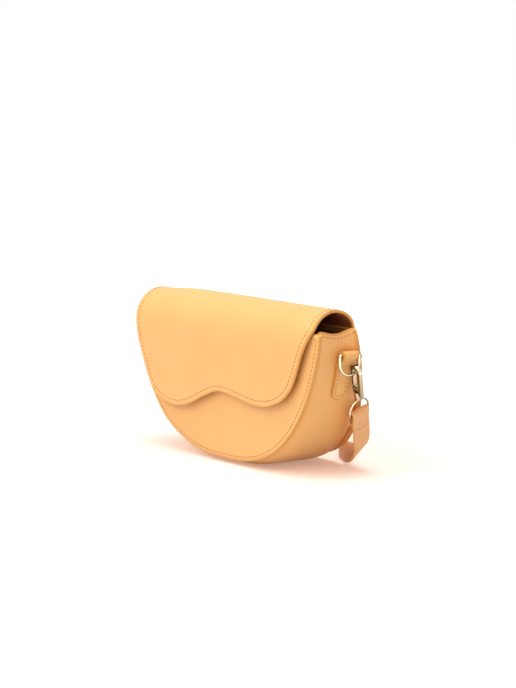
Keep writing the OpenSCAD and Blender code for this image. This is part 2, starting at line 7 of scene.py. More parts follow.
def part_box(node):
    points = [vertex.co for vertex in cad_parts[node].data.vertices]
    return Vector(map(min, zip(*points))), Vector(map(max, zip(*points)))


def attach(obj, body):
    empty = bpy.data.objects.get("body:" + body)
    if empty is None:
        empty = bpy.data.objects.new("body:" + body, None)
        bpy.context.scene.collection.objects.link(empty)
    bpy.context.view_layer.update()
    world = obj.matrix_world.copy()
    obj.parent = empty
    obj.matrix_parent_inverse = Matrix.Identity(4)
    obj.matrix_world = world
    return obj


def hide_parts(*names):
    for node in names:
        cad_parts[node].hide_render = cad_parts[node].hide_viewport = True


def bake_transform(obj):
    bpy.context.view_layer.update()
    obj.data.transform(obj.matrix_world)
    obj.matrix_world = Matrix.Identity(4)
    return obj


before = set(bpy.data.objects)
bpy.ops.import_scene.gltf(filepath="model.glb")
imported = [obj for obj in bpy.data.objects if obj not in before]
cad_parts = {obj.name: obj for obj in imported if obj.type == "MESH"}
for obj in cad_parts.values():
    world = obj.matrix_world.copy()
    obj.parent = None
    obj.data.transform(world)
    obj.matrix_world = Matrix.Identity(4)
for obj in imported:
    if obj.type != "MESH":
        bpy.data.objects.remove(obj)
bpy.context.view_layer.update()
mm = 0.001
print("stage: frame loaded")

panelLo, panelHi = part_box("front_panel")
backLo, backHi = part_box("back_panel")

bag = {
    "halfWidth": panelHi.x,
    "rimZ": panelLo.z,  # lowest edge of both panels
    "height": panelHi.z - panelLo.z,
    "frontY": panelLo.y,
    "mouthDepth": 39 * mm,
    "baseDepth": 80 * mm,
    "backRise": backHi.z - panelHi.z,
    "panelThick": panelHi.y - panelLo.y,
    "seam": 5 * mm,
    "gussetThick": 1.6 * mm,
    "sidePower": 1.52,
    "basePower": 2.73,
    "stitchIn": 3.2 * mm,
}
bag["gain"] = bag["baseDepth"] - bag["mouthDepth"]
bag["mouthZ"] = bag["rimZ"] + bag["height"]
bag["bulge"] = bag["seam"] + 4.6 * mm
lean = atan2(bag["gain"], bag["height"])


def backAt(z):  # outer face of the back panel at a height
    return bag["frontY"] + bag["baseDepth"] - bag["gain"] * (z - bag["rimZ"]) / bag["height"]


# the photograph's camera

shot = {
    "middle": Vector((0, -0.01895, 0.08875)),
    "right": Vector((0.588, 0.809, 0.0)),
    "up": Vector((-0.1056, 0.0767, 0.9914)),
    "away": 2.120,
    "slideRight": 0.01410,
    "slideUp": 0.01178,
    "lens": 2485.3 * 36 / 688,
}


def addCamera():
    data = bpy.data.cameras.new("photoCamera")
    data.lens = shot["lens"]
    data.sensor_width = 36.0
    data.sensor_fit = "AUTO"
    camera = bpy.data.objects.new("photoCamera", data)
    right = shot["right"].normalized()
    up = (shot["up"] - right * shot["up"].dot(right)).normalized()
    back = right.cross(up)
    aim = shot["middle"] + right * shot["slideRight"] + up * shot["slideUp"]
    turn = Matrix((right, up, back)).transposed().to_4x4()
    camera.matrix_world = Matrix.Translation(aim + back * shot["away"]) @ turn
    bpy.context.scene.collection.objects.link(camera)
    bpy.context.scene.camera = camera


addCamera()
print("stage: camera")


# materials

def addNode(tree, kind, inputs=None, **settings):
    node = tree.nodes.new(kind)
    for key, value in settings.items():
        setattr(node, key, value)
    for key, value in (inputs or {}).items():
        node.inputs[key].default_value = value
    return node


def addMix(tree, first=None, second=None):  # blends two colours, which may come from other nodes
    mix = addNode(tree, "ShaderNodeMix", data_type="RGBA")
    for key, colour in (("A", first), ("B", second)):
        if colour:
            mix.inputs[key].default_value = (*colour, 1)
    return mix


def joinNodes(tree, *joins):  # each join: a node, its output, the next node, its input
    for source, way, target, socket in joins:
        tree.links.new(source.outputs[way], target.inputs[socket])


def newGroup(name, inputs, outputs):
    group = bpy.data.node_groups.new(name, "ShaderNodeTree")
    for key, value in inputs.items():
        kind = "NodeSocketColor" if isinstance(value, tuple) else "NodeSocketFloat"
        group.interface.new_socket(name=key, in_out="INPUT", socket_type=kind).default_value = value
    for key, kind in outputs.items():
        group.interface.new_socket(name=key, in_out="OUTPUT", socket_type=kind)
    return group, addNode(group, "NodeGroupInput"), addNode(group, "NodeGroupOutput")


grainLook = {"scale": 1100.0, "depth": 0.00006, "smooth": 0.6, "fineShare": 0.45, "fineHigh": 0.5}
toneLook = {"scale": 14.0, "rough": 0.6, "from": 0.3, "to": 0.7}


def makeGrainGroup():  # fine leather grain, as a height and a mask
    group, enter, leave = newGroup("leatherGrain", {"Scale": grainLook["scale"], "Depth": grainLook["depth"]},
                                   {"Height": "NodeSocketFloat", "Mask": "NodeSocketFloat"})
    coord = addNode(group, "ShaderNodeTexCoord")
    cells = addNode(group, "ShaderNodeTexVoronoi", {"Smoothness": grainLook["smooth"]}, feature="SMOOTH_F1")
    fine = addNode(group, "ShaderNodeTexNoise", {"Detail": 3.0})
    half = addNode(group, "ShaderNodeMath", {1: grainLook["fineShare"]}, operation="MULTIPLY")
    both = addNode(group, "ShaderNodeMath", {1: grainLook["fineHigh"]}, operation="MULTIPLY_ADD")
    deep = addNode(group, "ShaderNodeMath", operation="MULTIPLY")
    joinNodes(group, (coord, "Object", cells, "Vector"), (coord, "Object", fine, "Vector"),
              (enter, "Scale", cells, "Scale"), (enter, "Scale", half, 0), (half, 0, fine, "Scale"),
              (fine, "Fac", both, 0), (cells, "Distance", both, 2), (both, 0, deep, 0), (enter, "Depth", deep, 1),
              (deep, 0, leave, "Height"), (both, 0, leave, "Mask"))
    return group


def makeToneGroup():  # slow change of colour over a hide
    group, enter, leave = newGroup(
        "hideTone", {"Scale": toneLook["scale"], "Light": (1, 1, 1, 1), "Dark": (0, 0, 0, 1)},
        {"Color": "NodeSocketColor"})
    coord = addNode(group, "ShaderNodeTexCoord")
    cloud = addNode(group, "ShaderNodeTexNoise", {"Detail": 4.0, "Roughness": toneLook["rough"]})
    ramp = addNode(group, "ShaderNodeMapRange", {"From Min": toneLook["from"], "From Max": toneLook["to"]})
    mix = addMix(group)
    joinNodes(group, (coord, "Object", cloud, "Vector"), (enter, "Scale", cloud, "Scale"),
              (cloud, "Fac", ramp, "Value"), (ramp, "Result", mix, "Factor"), (enter, "Dark", mix, "A"),
              (enter, "Light", mix, "B"), (mix, "Result", leave, "Color"))
    return group


leatherGrain = makeGrainGroup()
hideTone = makeToneGroup()


def newMaterial(name, inputs=None):
    material = bpy.data.materials.new(name)
    material.use_nodes = True
    shader = material.node_tree.nodes["Principled BSDF"]
    for key, value in (inputs or {}).items():
        shader.inputs[key].default_value = value
    return material, material.node_tree, shader


def leatherMaterial(name, light, dark, rough=0.46, grain=grainLook["scale"], depth=grainLook["depth"], sheen=0.08):
    material, tree, shader = newMaterial(
        name, {"Sheen Weight": sheen, "Sheen Roughness": 0.4, "Specular IOR Level": 0.5})
    tones = {"Scale": toneLook["scale"], "Light": (*light, 1), "Dark": (*dark, 1)}
    colour = addNode(tree, "ShaderNodeGroup", tones, node_tree=hideTone)
    skin = addNode(tree, "ShaderNodeGroup", {"Scale": grain, "Depth": depth}, node_tree=leatherGrain)
    gloss = addNode(tree, "ShaderNodeMapRange", {"To Min": rough - 0.05, "To Max": rough + 0.07})
    bump = addNode(tree, "ShaderNodeBump", {"Strength": 1.0, "Distance": 1.0})
    joinNodes(tree, (colour, "Color", shader, "Base Color"), (skin, "Mask", gloss, "Value"),
              (gloss, "Result", shader, "Roughness"), (skin, "Height", bump, "Height"),
              (bump, "Normal", shader, "Normal"))
    return material


def threadMaterial(name, light, dark):
    material, tree, shader = newMaterial(name, {"Roughness": 0.6})
    coord = addNode(tree, "ShaderNodeTexCoord")
    twist = addNode(tree, "ShaderNodeTexWave", {"Scale": 900.0}, bands_direction="DIAGONAL")
    mix = addMix(tree, dark, light)
    bump = addNode(tree, "ShaderNodeBump", {"Distance": 0.00005})
    joinNodes(tree, (coord, "Object", twist, "Vector"), (twist, "Fac", mix, "Factor"),
              (mix, "Result", shader, "Base Color"), (twist, "Fac", bump, "Height"),
              (bump, "Normal", shader, "Normal"))
    return material


metalLook = {"smear": 260.0, "glossMin": 0.7, "glossMax": 1.5, "paintedDarkFrom": 0.16, "paintedDarkTo": 0.6, "paintedDarkShare": 0.12}


# the metals carry a painted dark reflection: their base colour darkens towards the sides that turn away from the
# camera
def metalMaterial(name, colour, rough):
    material, tree, shader = newMaterial(name, {"Metallic": 1.0})
    coord = addNode(tree, "ShaderNodeTexCoord")
    smear = addNode(tree, "ShaderNodeTexNoise", {"Scale": metalLook["smear"], "Detail": 3.0})
    gloss = addNode(tree, "ShaderNodeMapRange",
                    {"To Min": rough * metalLook["glossMin"], "To Max": rough * metalLook["glossMax"]})
    edge = addNode(tree, "ShaderNodeLayerWeight", {"Blend": 0.5})  # painted dark reflection: the colour darkens where the metal turns away from the camera
    turn = addNode(tree, "ShaderNodeMapRange", {"From Min": metalLook["paintedDarkFrom"], "From Max": metalLook["paintedDarkTo"]})
    mix = addMix(tree, colour, [c * metalLook["paintedDarkShare"] for c in colour])
    joinNodes(tree, (coord, "Object", smear, "Vector"), (smear, "Fac", gloss, "Value"),
              (gloss, "Result", shader, "Roughness"), (edge, "Facing", turn, "Value"),
              (turn, "Result", mix, "Factor"), (mix, "Result", shader, "Base Color"))
    return material


def wovenMaterial(name, light, dark, threads=1400.0):
    material, tree, shader = newMaterial(name, {"Roughness": 0.85})
    coord = addNode(tree, "ShaderNodeTexCoord")
    weave = addNode(tree, "ShaderNodeTexChecker", {"Scale": threads, "Color1": (*dark, 1), "Color2": (*light, 1)})
    bump = addNode(tree, "ShaderNodeBump", {"Distance": 0.00004})
    joinNodes(tree, (coord, "Object", weave, "Vector"), (weave, "Color", shader, "Base Color"),
              (weave, "Fac", bump, "Height"), (bump, "Normal", shader, "Normal"))
    return material


apricotLeather = leatherMaterial("apricotLeather", (0.95, 0.51, 0.172), (0.92, 0.47, 0.152))
strapLeather = leatherMaterial("strapLeather", (0.90, 0.47, 0.19), (0.86, 0.42, 0.155), grain=1300.0)
# painted shade: the flap's lining colour is darkened to the deep shade it sits in under the flap
flapLiningPaintedShade = leatherMaterial("flapLiningPaintedShade", (0.38, 0.105, 0.035), (0.31, 0.08, 0.026), rough=0.7,
                                    sheen=0.0)
edgePaint = leatherMaterial("edgePaint", (0.80, 0.38, 0.075), (0.74, 0.33, 0.06), rough=0.34, grain=2400.0,
                            depth=0.00002, sheen=0.0)
# ochre-brown thread, darkened further as painted shade of the stitch holes
threadAndPaintedHoleShade = threadMaterial("threadAndPaintedHoleShade", (0.46, 0.19, 0.05), (0.30, 0.115, 0.028))
paleGold = metalMaterial("paleGold", (0.80, 0.68, 0.47), 0.11)
brightSteel = metalMaterial("brightSteel", (0.72, 0.70, 0.66), 0.22)
# painted shade: the lining cloth's colour is darkened to the shade inside the bag
liningClothPaintedShade = wovenMaterial("liningClothPaintedShade", (0.36, 0.10, 0.035), (0.26, 0.065, 0.022))
greyBoard = wovenMaterial("greyBoard", (0.42, 0.33, 0.23), (0.36, 0.28, 0.19), threads=500.0)
print("stage: materials")


# helpers for all the pieces

def arcSpaced(points, count, closed=False):  # the same line with even steps
    line = points + [points[0]] if closed else points
    run = [0.0]
    for a, b in zip(line, line[1:]):
        run.append(run[-1] + (b - a).length)
    out, k = [], 0
    for i in range(count):
        want = run[-1] * i / (count if closed else count - 1)
        while k < len(line) - 2 and run[k + 1] < want:
            k += 1
        step = run[k + 1] - run[k]
        out.append(line[k].lerp(line[k + 1], (want - run[k]) / step if step else 0.0))
    return out


def smoothLine(points, steps):  # Catmull-Rom through all the points
    out = []
    last = len(points) - 1
    for i in range(last):
        a, b = points[max(i - 1, 0)], points[i]
        c, d = points[i + 1], points[min(i + 2, last)]
        for k in range(steps):
            t = k / steps
            out.append(0.5 * (2 * b + (c - a) * t + (2 * a - 5 * b + 4 * c - d) * t * t
                              + (3 * b - a - 3 * c + d) * t * t * t))
    out.append(points[last].copy())
    return out


def evened(line, turns):  # moves each inner point towards its neighbours
    for turn in range(turns):
        line = [line[0]] + [(a + b * 2 + c) / 4 for a, b, c in zip(line, line[1:], line[2:])] + [line[-1]]
    return line


def lineLength(points):
    return sum((b - a).length for a, b in zip(points, points[1:]))


def tangentsOf(points, closed=False):
    count = len(points)
    out = []
    for i in range(count):
        before = points[i - 1] if (closed or i) else points[0]
        after = points[(i + 1) % count] if (closed or i < count - 1) else points[-1]
        out.append((after - before).normalized())
    return out


def finishPiece(name, bm, material, body, nodes, extra=()):
    bmesh.ops.remove_doubles(bm, verts=bm.verts, dist=1e-6)
    mesh = bpy.data.meshes.new(name)
    bm.to_mesh(mesh)
    bm.free()
    piece = bpy.data.objects.new(name, mesh)
    bpy.context.scene.collection.objects.link(piece)
    for item in (material, *extra):
        mesh.materials.append(item)
    mesh.shade_smooth()
    if body:
        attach(piece, body)
    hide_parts(*nodes)
    return piece


def addSolidify(piece, thick, offset=-1.0):
    mod = piece.modifiers.new("wall", "SOLIDIFY")
    mod.thickness = thick
    mod.offset = offset
    mod.use_even_offset = True


def addBevel(piece, width, angle):
    mod = piece.modifiers.new("edges", "BEVEL")
    mod.width = width
    mod.segments = 3
    mod.limit_method = "ANGLE"
    mod.angle_limit = radians(angle)


def addLoop(bm, points):
    verts = [bm.verts.new(p) for p in points]
    return [bm.edges.new(pair) for pair in zip(verts, verts[1:] + verts[:1])]


def faceOut(bm, way):  # turns an open sheet so that it faces along way
    bmesh.ops.recalc_face_normals(bm, faces=bm.faces)
    if sum(f.normal.dot(way) * f.calc_area() for f in bm.faces) < 0:
        bmesh.ops.reverse_faces(bm, faces=bm.faces)


def sweptTube(bm, rings, around=False):  # bridges each closed ring to the next one
    loops = [addLoop(bm, ring) for ring in rings]
    for i in range(len(loops) if around else len(loops) - 1):
        bmesh.ops.bridge_loops(bm, edges=loops[i] + loops[(i + 1) % len(loops)])
    if not around:
        for ends in (loops[0], loops[-1]):
            bmesh.ops.contextual_create(bm, geom=ends)
    bmesh.ops.recalc_face_normals(bm, faces=bm.faces)


def ovalRing(centre, wide, high, halfWide, halfHigh, corners=12, square=1.0):
    ring = []
    for k in range(corners):
        a = 2 * pi * (k + 0.5) / corners
        c, s = cos(a), sin(a)
        ring.append(centre + wide * (halfWide * copysign(abs(c) ** square, c))
                    + high * (halfHigh * copysign(abs(s) ** square, s)))
    return ring


stitchLook = {"pitch": 3.6 * mm, "long": 2.6 * mm, "wide": 0.62 * mm, "high": 0.5 * mm, "tilt": 0.16}


def sewStitches(bm, line, outward):  # outward: one vector or a function of a point
    look = stitchLook
    count = max(int(lineLength(line) / look["pitch"]), 1)
    spots = arcSpaced(line, count * 2 + 1)
    for i in range(count):
        centre = spots[2 * i + 1]
        along = (spots[2 * i + 2] - spots[2 * i]).normalized()
        out = outward(centre) if callable(outward) else outward
        out = (out - along * out.dot(along)).normalized()
        along = (along + out.cross(along) * look["tilt"]).normalized()
        side = out.cross(along)
        turn = Matrix((along * look["long"] / 2, side * look["wide"] / 2, out * look["high"] / 2)).transposed()
        place = Matrix.Translation(centre) @ turn.to_4x4()
        bmesh.ops.create_uvsphere(bm, u_segments=6, v_segments=5, radius=1.0, matrix=place)


def rimPoint(share):  # -1 left mouth corner, 0 base, 1 right mouth corner; x across, y up the panel
    turn = (1 - abs(share)) * pi / 2
    x = copysign(bag["halfWidth"] * cos(turn) ** (2 / bag["basePower"]), share)
    return Vector((x, bag["height"] * (1 - sin(turn) ** (2 / bag["sidePower"])), 0))


rimLine = arcSpaced([rimPoint(-1 + 2 * i / 800) for i in range(801)], 121)


def inwardWays(line, closed=False):  # inwards is to the left of the way it runs
    return [Vector((-t.y, t.x, 0)) for t in tangentsOf(line, closed)]


inwardLine = inwardWays(rimLine)
inwardLine[0], inwardLine[-1] = Vector((1, 0, 0)), Vector((-1, 0, 0))


def easeStep(low, high, t):
    t = min(1.0, max(0.0, (t - low) / (high - low)))
    return t * t * (3 - 2 * t)


swellLook = {"out": 5.8 * mm, "grows": (1 * mm, 26 * mm), "fades": (72 * mm, 104 * mm)}


def leftSwell(p):  # the front stands out a little low on the left side
    if p.x > 0:
        return Vector((0, 0, 0))
    grow = easeStep(*swellLook["grows"], p.y) * (1 - easeStep(*swellLook["fades"], p.y))
    return Vector((-swellLook["out"] * grow, 0, 0))


def rimInset(depth, swell=False):
    return [p + n * depth + (leftSwell(p) if swell else Vector()) for p, n in zip(rimLine, inwardLine)]


def onFront(p, out=0.0):  # flat pattern to the front panel's outer face
    return Vector((p.x, bag["frontY"] - out, bag["rimZ"] + p.y))


def onBack(p, out=0.0):  # the same height on the leaning back
    z = bag["rimZ"] + p.y
    return Vector((p.x, backAt(z) + out * cos(lean), z + out * sin(lean)))


backOut = Vector((0, cos(lean), sin(lean)))
frontOut = Vector((0, -1, 0))


def sheetGrid(across, along, low, high, left, right):  # a grid stretched between four edge lines
    bm = bmesh.new()
    bmesh.ops.create_grid(bm, x_segments=across, y_segments=along, size=0.5)
    low, high = arcSpaced(low, 401), arcSpaced(high, 401)
    left, right = arcSpaced(left, 401), arcSpaced(right, 401)

    def at(line, t):
        t = min(max(t, 0.0), 1.0) * 400
        k = min(int(t), 399)
        return line[k].lerp(line[k + 1], t - k)

    for v in bm.verts:
        a, b = v.co.x + 0.5, v.co.y + 0.5
        v.co = ((1 - b) * at(low, a) + b * at(high, a) + (1 - a) * at(left, b) + a * at(right, b)
                - (1 - a) * (1 - b) * low[0] - a * (1 - b) * low[-1]
                - (1 - a) * b * high[0] - a * b * high[-1])
    return bm


def bendSheet(bm, place, way):
    for v in bm.verts:
        v.co = place(v.co)
    faceOut(bm, way)


def edgeBead(bm, outline, place, outOf, inset, halfWide, halfHigh, depth, closed=True, corners=12):
    rings = []
    for p, n in zip(outline, inwardWays(outline, closed)):
        centre = place(p + n * inset, -depth)
        wide = (place(p + n * (inset + mm), -depth) - centre).normalized()
        high = outOf(p)
        high = (high - wide * high.dot(wide)).normalized()
        rings.append(ovalRing(centre, wide, high, halfWide, halfHigh, corners, square=0.55))
    sweptTube(bm, rings, around=closed)


def softCorners(points, reach):  # rounds every sharp corner of a closed flat outline
    out = []
    count = len(points)
    for i, p in enumerate(points):
        a, b = points[i - 1] - p, points[(i + 1) % count] - p
        if a.angle(b) < radians(150):
            near, far = p + a.normalized() * reach, p + b.normalized() * reach
            out += [near * (1 - t) ** 2 + p * 2 * t * (1 - t) + far * t * t for t in (0.0, 0.25, 0.5, 0.75, 1.0)]
        else:
            out.append(p)
    return out


# panels, their painted edges and stitches

panelLook = {
    "columns": 64,
    "rows": 40,
    "crown": 0.6 * mm,
    "cornerShare": 0.56,  # where the side edge of the grid ends
    "edgeWide": 0.75 * mm,
    "edgeProud": 0.05 * mm,
    "flangeShown": 0.9 * mm,
    "ripple": 0.25 * mm,
    "rippleScale": 18,
    "skinIn": 0.4 * mm,
    "skinThin": 0.1 * mm,
    "edgeSteps": 420,
    "corner": 3.0 * mm,
    "threadSink": 0.12 * mm,
}
bothPanels = (  # name, place, way out, height, depth in the noise that ripples it
    ("front", onFront, frontOut, bag["height"], 3.0),
    ("back", onBack, backOut, bag["height"] + bag["backRise"], 9.0),
)


def crownAt(p, deep):  # soft rise in the middle of a panel, with a slow ripple
    a = max(0.0, 1 - (abs(p.x) / bag["halfWidth"]) ** 3)
    b = max(0.0, min(1.0, p.y / bag["height"]) * (1 - 0.4 * p.y / bag["height"])) * 1.6
    scale = panelLook["rippleScale"]
    wave = noise.noise(Vector((p.x * scale, p.y * scale, deep))) * panelLook["ripple"]
    return (panelLook["crown"] + wave) * a * b


def halfMoon(top, swell):  # closed outline: left corner, base, right corner, and back along the top
    line = rimInset(0, swell)
    left = Vector((line[0].x, top, 0))
    right = Vector((line[-1].x, top, 0))
    return line[1:-1] + [right.lerp(left, k / 50) for k in range(51)]


def halfMoonGrid(depth, top, swell=False):
    line = rimInset(depth, swell)
    cut = int(len(line) * (1 - panelLook["cornerShare"]) / 2)
    left = [Vector((line[0].x, top, 0))] + line[1:cut + 1]
    low = line[cut:len(line) - cut]
    right = [Vector((line[-1].x, top, 0))] + [line[-1 - k] for k in range(1, cut + 1)]
    high = [left[0], right[0]]
    return sheetGrid(panelLook["columns"], panelLook["rows"], low, high, left[::-1], right[::-1])


def makePanel(name, place, way, top, deep):
    swell = place is onFront
    bm = halfMoonGrid(panelLook["skinIn"], top - panelLook["skinIn"], swell)
    bendSheet(bm, lambda p: place(p, crownAt(p, deep)), way)
    skin = finishPiece(name + "Panel", bm, apricotLeather, "bag", (name + "_panel",), extra=(edgePaint,))
    addSolidify(skin, bag["panelThick"] - panelLook["skinThin"])
    edge = bmesh.new()
    stack = bag["panelThick"] + panelLook["flangeShown"]
    outline = arcSpaced(softCorners(halfMoon(top, swell), panelLook["corner"]), panelLook["edgeSteps"], closed=True)
    edgeBead(edge, outline, place, lambda p: way, panelLook["edgeWide"] * 0.8,
             panelLook["edgeWide"], stack / 2 + panelLook["edgeProud"], stack / 2)
    finishPiece(name + "PanelEdge", edge, edgePaint, "bag", (name + "_panel",))


for panel in bothPanels:
    makePanel(*panel)


def makeSeam(name, place, way, top, deep):  # only the front's stitches run on below its top edge
    bm = bmesh.new()
    line = rimInset(bag["stitchIn"] + 0.4 * mm, place is onFront)[1:]
    drop = bag["stitchIn"] + 0.6 * mm
    line = [p for p in line if p.y < top - drop]
    if place is onFront:
        corner = Vector((line[-1].x, top - drop, 0))
        left = Vector((line[0].x, top - drop, 0))
        line = [left] + line + [corner, corner.lerp(left, 0.5), left]
    sewStitches(bm, [place(p, panelLook["threadSink"] + crownAt(p, deep)) for p in line], way)
    finishPiece(name + "SeamStitches", bm, threadAndPaintedHoleShade, "bag", (name + "_seam_thread",))


for panel in bothPanels:
    makeSeam(*panel)
print("stage: panels")


# gusset

gussetLook = {
    "columns": 44,
    "mouthShare": 0.93,
    "bulgePower": 6,
    "sag": 4 * mm,
    "mouthClimb": 3.0 * mm,
    "mouthSag": 1.0 * mm,
    "mouthFront": 1.9 * mm,
    "backFull": 3.4 * mm,
    "fullShares": (0.72, 0.98),
    "fullHeights": (70 * mm, 108 * mm),
    "swellShares": (0.02, 0.32),
    "liftHigh": 24 * mm,
    "climbFrom": 0.62,
    "frontShares": (0.09, 0.5),
    "ripple": 0.6 * mm,
    "rippleScales": (16, 22, 26),
    "flangeWide": 2.9 * mm,
}


def wallRise(share, z):
    k = 1 - abs(2 * share - 1) ** gussetLook["bulgePower"]
    return bag["bulge"] * k * (1 - gussetLook["mouthShare"] * z / bag["height"])


def wallPoint(p, n, depth, share, margin, low):  # rim point, inward normal, inset, share of the depth
    look = gussetLook
    full = look["backFull"] * easeStep(*look["fullShares"], share) * easeStep(*look["fullHeights"], p.y)
    q = p + n * (depth - full - wallRise(share, p.y)) + leftSwell(p) * (1 - easeStep(*look["swellShares"], share))
    z = bag["rimZ"] + max(q.y, low)
    front = bag["frontY"] + bag["panelThick"] + margin
    back = backAt(z) - (bag["panelThick"] + margin) / cos(lean)
    return Vector((q.x, front + (back - front) * share, z))


def mouthLift(share, y):  # the wall's top edge sags in the middle and climbs to the back
    look = gussetLook
    near = easeStep(bag["height"] - look["liftHigh"], bag["height"], y)
    climb = easeStep(look["climbFrom"], 1.0, share) * look["mouthClimb"]
    front = easeStep(0.0, look["frontShares"][0], share) * (1 - easeStep(*look["frontShares"], share))
    climb += front * look["mouthFront"]
    return Vector((0, 0, (climb - sin(pi * share) * look["mouthSag"]) * near))


def makeGussetWall(name, depth, margin, thick, low, material, node, ripple, top=0.0):
    bm = bmesh.new()
    last = len(rimLine) - 1
    bmesh.ops.create_grid(bm, x_segments=last, y_segments=gussetLook["columns"], size=0.5)
    for v in bm.verts:
        i = round((v.co.x + 0.5) * last)
        share = 0.5 - 0.5 * cos(pi * (v.co.y + 0.5))
        p, n = rimLine[i], inwardLine[i]
        if i in (0, last):
            p = p - Vector((0, top, 0))
        spot = wallPoint(p, n, depth, share, margin, low)
        ease = (1 - abs(2 * share - 1) ** 4) * min(1.0, p.y / (0.25 * bag["height"]))
        way = Vector([a * b for a, b in zip(spot, gussetLook["rippleScales"])])
        wave = (noise.noise(way) + 0.5) * ripple * ease
        v.co = spot + Vector((n.x, 0, n.y)) * wave + mouthLift(share, p.y)
    bmesh.ops.recalc_face_normals(bm, faces=bm.faces)
    middle = Vector((0, 0, bag["mouthZ"]))
    if sum(f.normal.dot(f.calc_center_median() - middle) for f in bm.faces) < 0:
        bmesh.ops.reverse_faces(bm, faces=bm.faces)
    addSolidify(finishPiece(name, bm, material, "bag", (node,)), thick)


makeGussetWall("gussetWall", bag["seam"], bag["gussetThick"] * 0.5, bag["gussetThick"], -gussetLook["sag"],
               apricotLeather, "gusset", gussetLook["ripple"])

flanges = bmesh.new()
for place, way in ((onFront, frontOut), (onBack, backOut)):
    edgeBead(flanges, rimInset(0, place is onFront), place, lambda p, w=way: w, gussetLook["flangeWide"] + 0.25 * mm,
             gussetLook["flangeWide"], bag["gussetThick"] / 2, bag["panelThick"] + bag["gussetThick"] / 2 + 0.05 * mm,
             closed=False, corners=8)
finishPiece("gussetFlanges", flanges, apricotLeather, "bag", ("gusset",))

liningLook = {"thick": 0.8 * mm, "board": 0.8 * mm, "gap": 0.1 * mm, "topDown": 0.8 * mm, "backIn": 1.3 * mm}
liningIn = bag["seam"] + bag["gussetThick"] + liningLook["gap"]
makeGussetWall("gussetLining", liningIn + liningLook["board"] + liningLook["gap"], 1.9 * mm, liningLook["thick"],
               bag["gussetThick"] + liningLook["board"] + 2 * liningLook["gap"] - gussetLook["sag"],
               liningClothPaintedShade, "gusset_lining", 0.2 * mm, top=0.6 * mm)


def makeLining(name, place, way, depth):
    bm = halfMoonGrid(depth, bag["height"] - liningLook["topDown"])
    inner = bag["panelThick"] + liningLook["board"] + 2 * liningLook["gap"]
    bendSheet(bm, lambda p: place(p, -inner), way)
    sheet = finishPiece(name + "Lining", bm, liningClothPaintedShade, "bag", (name + "_lining",))
    addSolidify(sheet, liningLook["thick"])


makeLining("front", onFront, frontOut, liningIn)
makeLining("back", onBack, backOut, liningIn + liningLook["backIn"])

pocketLo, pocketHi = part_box("slip_pocket")
pocket = {"halfWide": (pocketHi.x - pocketLo.x) / 2, "low": pocketLo.z - bag["rimZ"],
          "high": pocketHi.z - bag["rimZ"], "open": 1.6 * mm}
lowLeft, lowRight, highLeft, highRight = [
    Vector((side * pocket["halfWide"], pocket[level], 0)) for level in ("low", "high") for side in (-1, 1)]
pocketSheet = sheetGrid(30, 18, [lowLeft, lowRight], [highLeft, highRight], [lowLeft, highLeft], [lowRight, highRight])
pocketDepth = bag["panelThick"] + liningLook["board"] + liningLook["thick"] + 3 * liningLook["gap"]


def pocketAt(p):  # the opening on top stands open a little
    rise = max(0.0, (p.y - pocket["low"]) / (pocket["high"] - pocket["low"]))
    loose = (1 - (p.x / pocket["halfWide"]) ** 2) * rise ** 3 * pocket["open"]
    return onBack(p, -pocketDepth - loose)


bendSheet(pocketSheet, pocketAt, backOut)
pocketPiece = finishPiece("slipPocket", pocketSheet, liningClothPaintedShade, "bag", ("slip_pocket",))
addSolidify(pocketPiece, liningLook["thick"])

# the gusset's painted top edges and the stitches below them

mouthLook = {
    "halfThick": 1.5 * mm,
    "halfHigh": 0.7 * mm,
    "sink": 0.35 * mm,
    "stitchDown": 3.6 * mm,
    "edgeShares": [0.03 + 0.94 * k / 24 for k in range(25)],
    "stitchShares": [0.08 + 0.84 * k / 20 for k in range(21)],
}
mouthEdge, mouthStitches = bmesh.new(), bmesh.new()
for end in (0, -1):
    p, n = rimLine[end], inwardLine[end]
    rings = []
    for share in mouthLook["edgeShares"]:
        c = wallPoint(p, n, bag["seam"] + mouthLook["halfThick"], share, bag["gussetThick"] * 0.5, 0.0)
        c += mouthLift(share, p.y) - Vector((0, 0, mouthLook["sink"]))
        rings.append(ovalRing(c, Vector((n.x, 0, 0)), Vector((0, 0, 1)),
                              mouthLook["halfThick"], mouthLook["halfHigh"], 12, square=0.6))
    sweptTube(mouthEdge, rings)
    below = p - Vector((0, mouthLook["stitchDown"], 0))
    line = [wallPoint(below, n, bag["seam"] - 0.2 * mm, share, bag["gussetThick"], 0.0) + mouthLift(share, p.y)
            for share in mouthLook["stitchShares"]]
    sewStitches(mouthStitches, line, Vector((-n.x, 0, 0)))
finishPiece("mouthEdge", mouthEdge, edgePaint, "bag", ("gusset",))
finishPiece("mouthStitches", mouthStitches, threadAndPaintedHoleShade, "bag", ("mouth_thread",))
print("stage: gusset and lining")


# flap

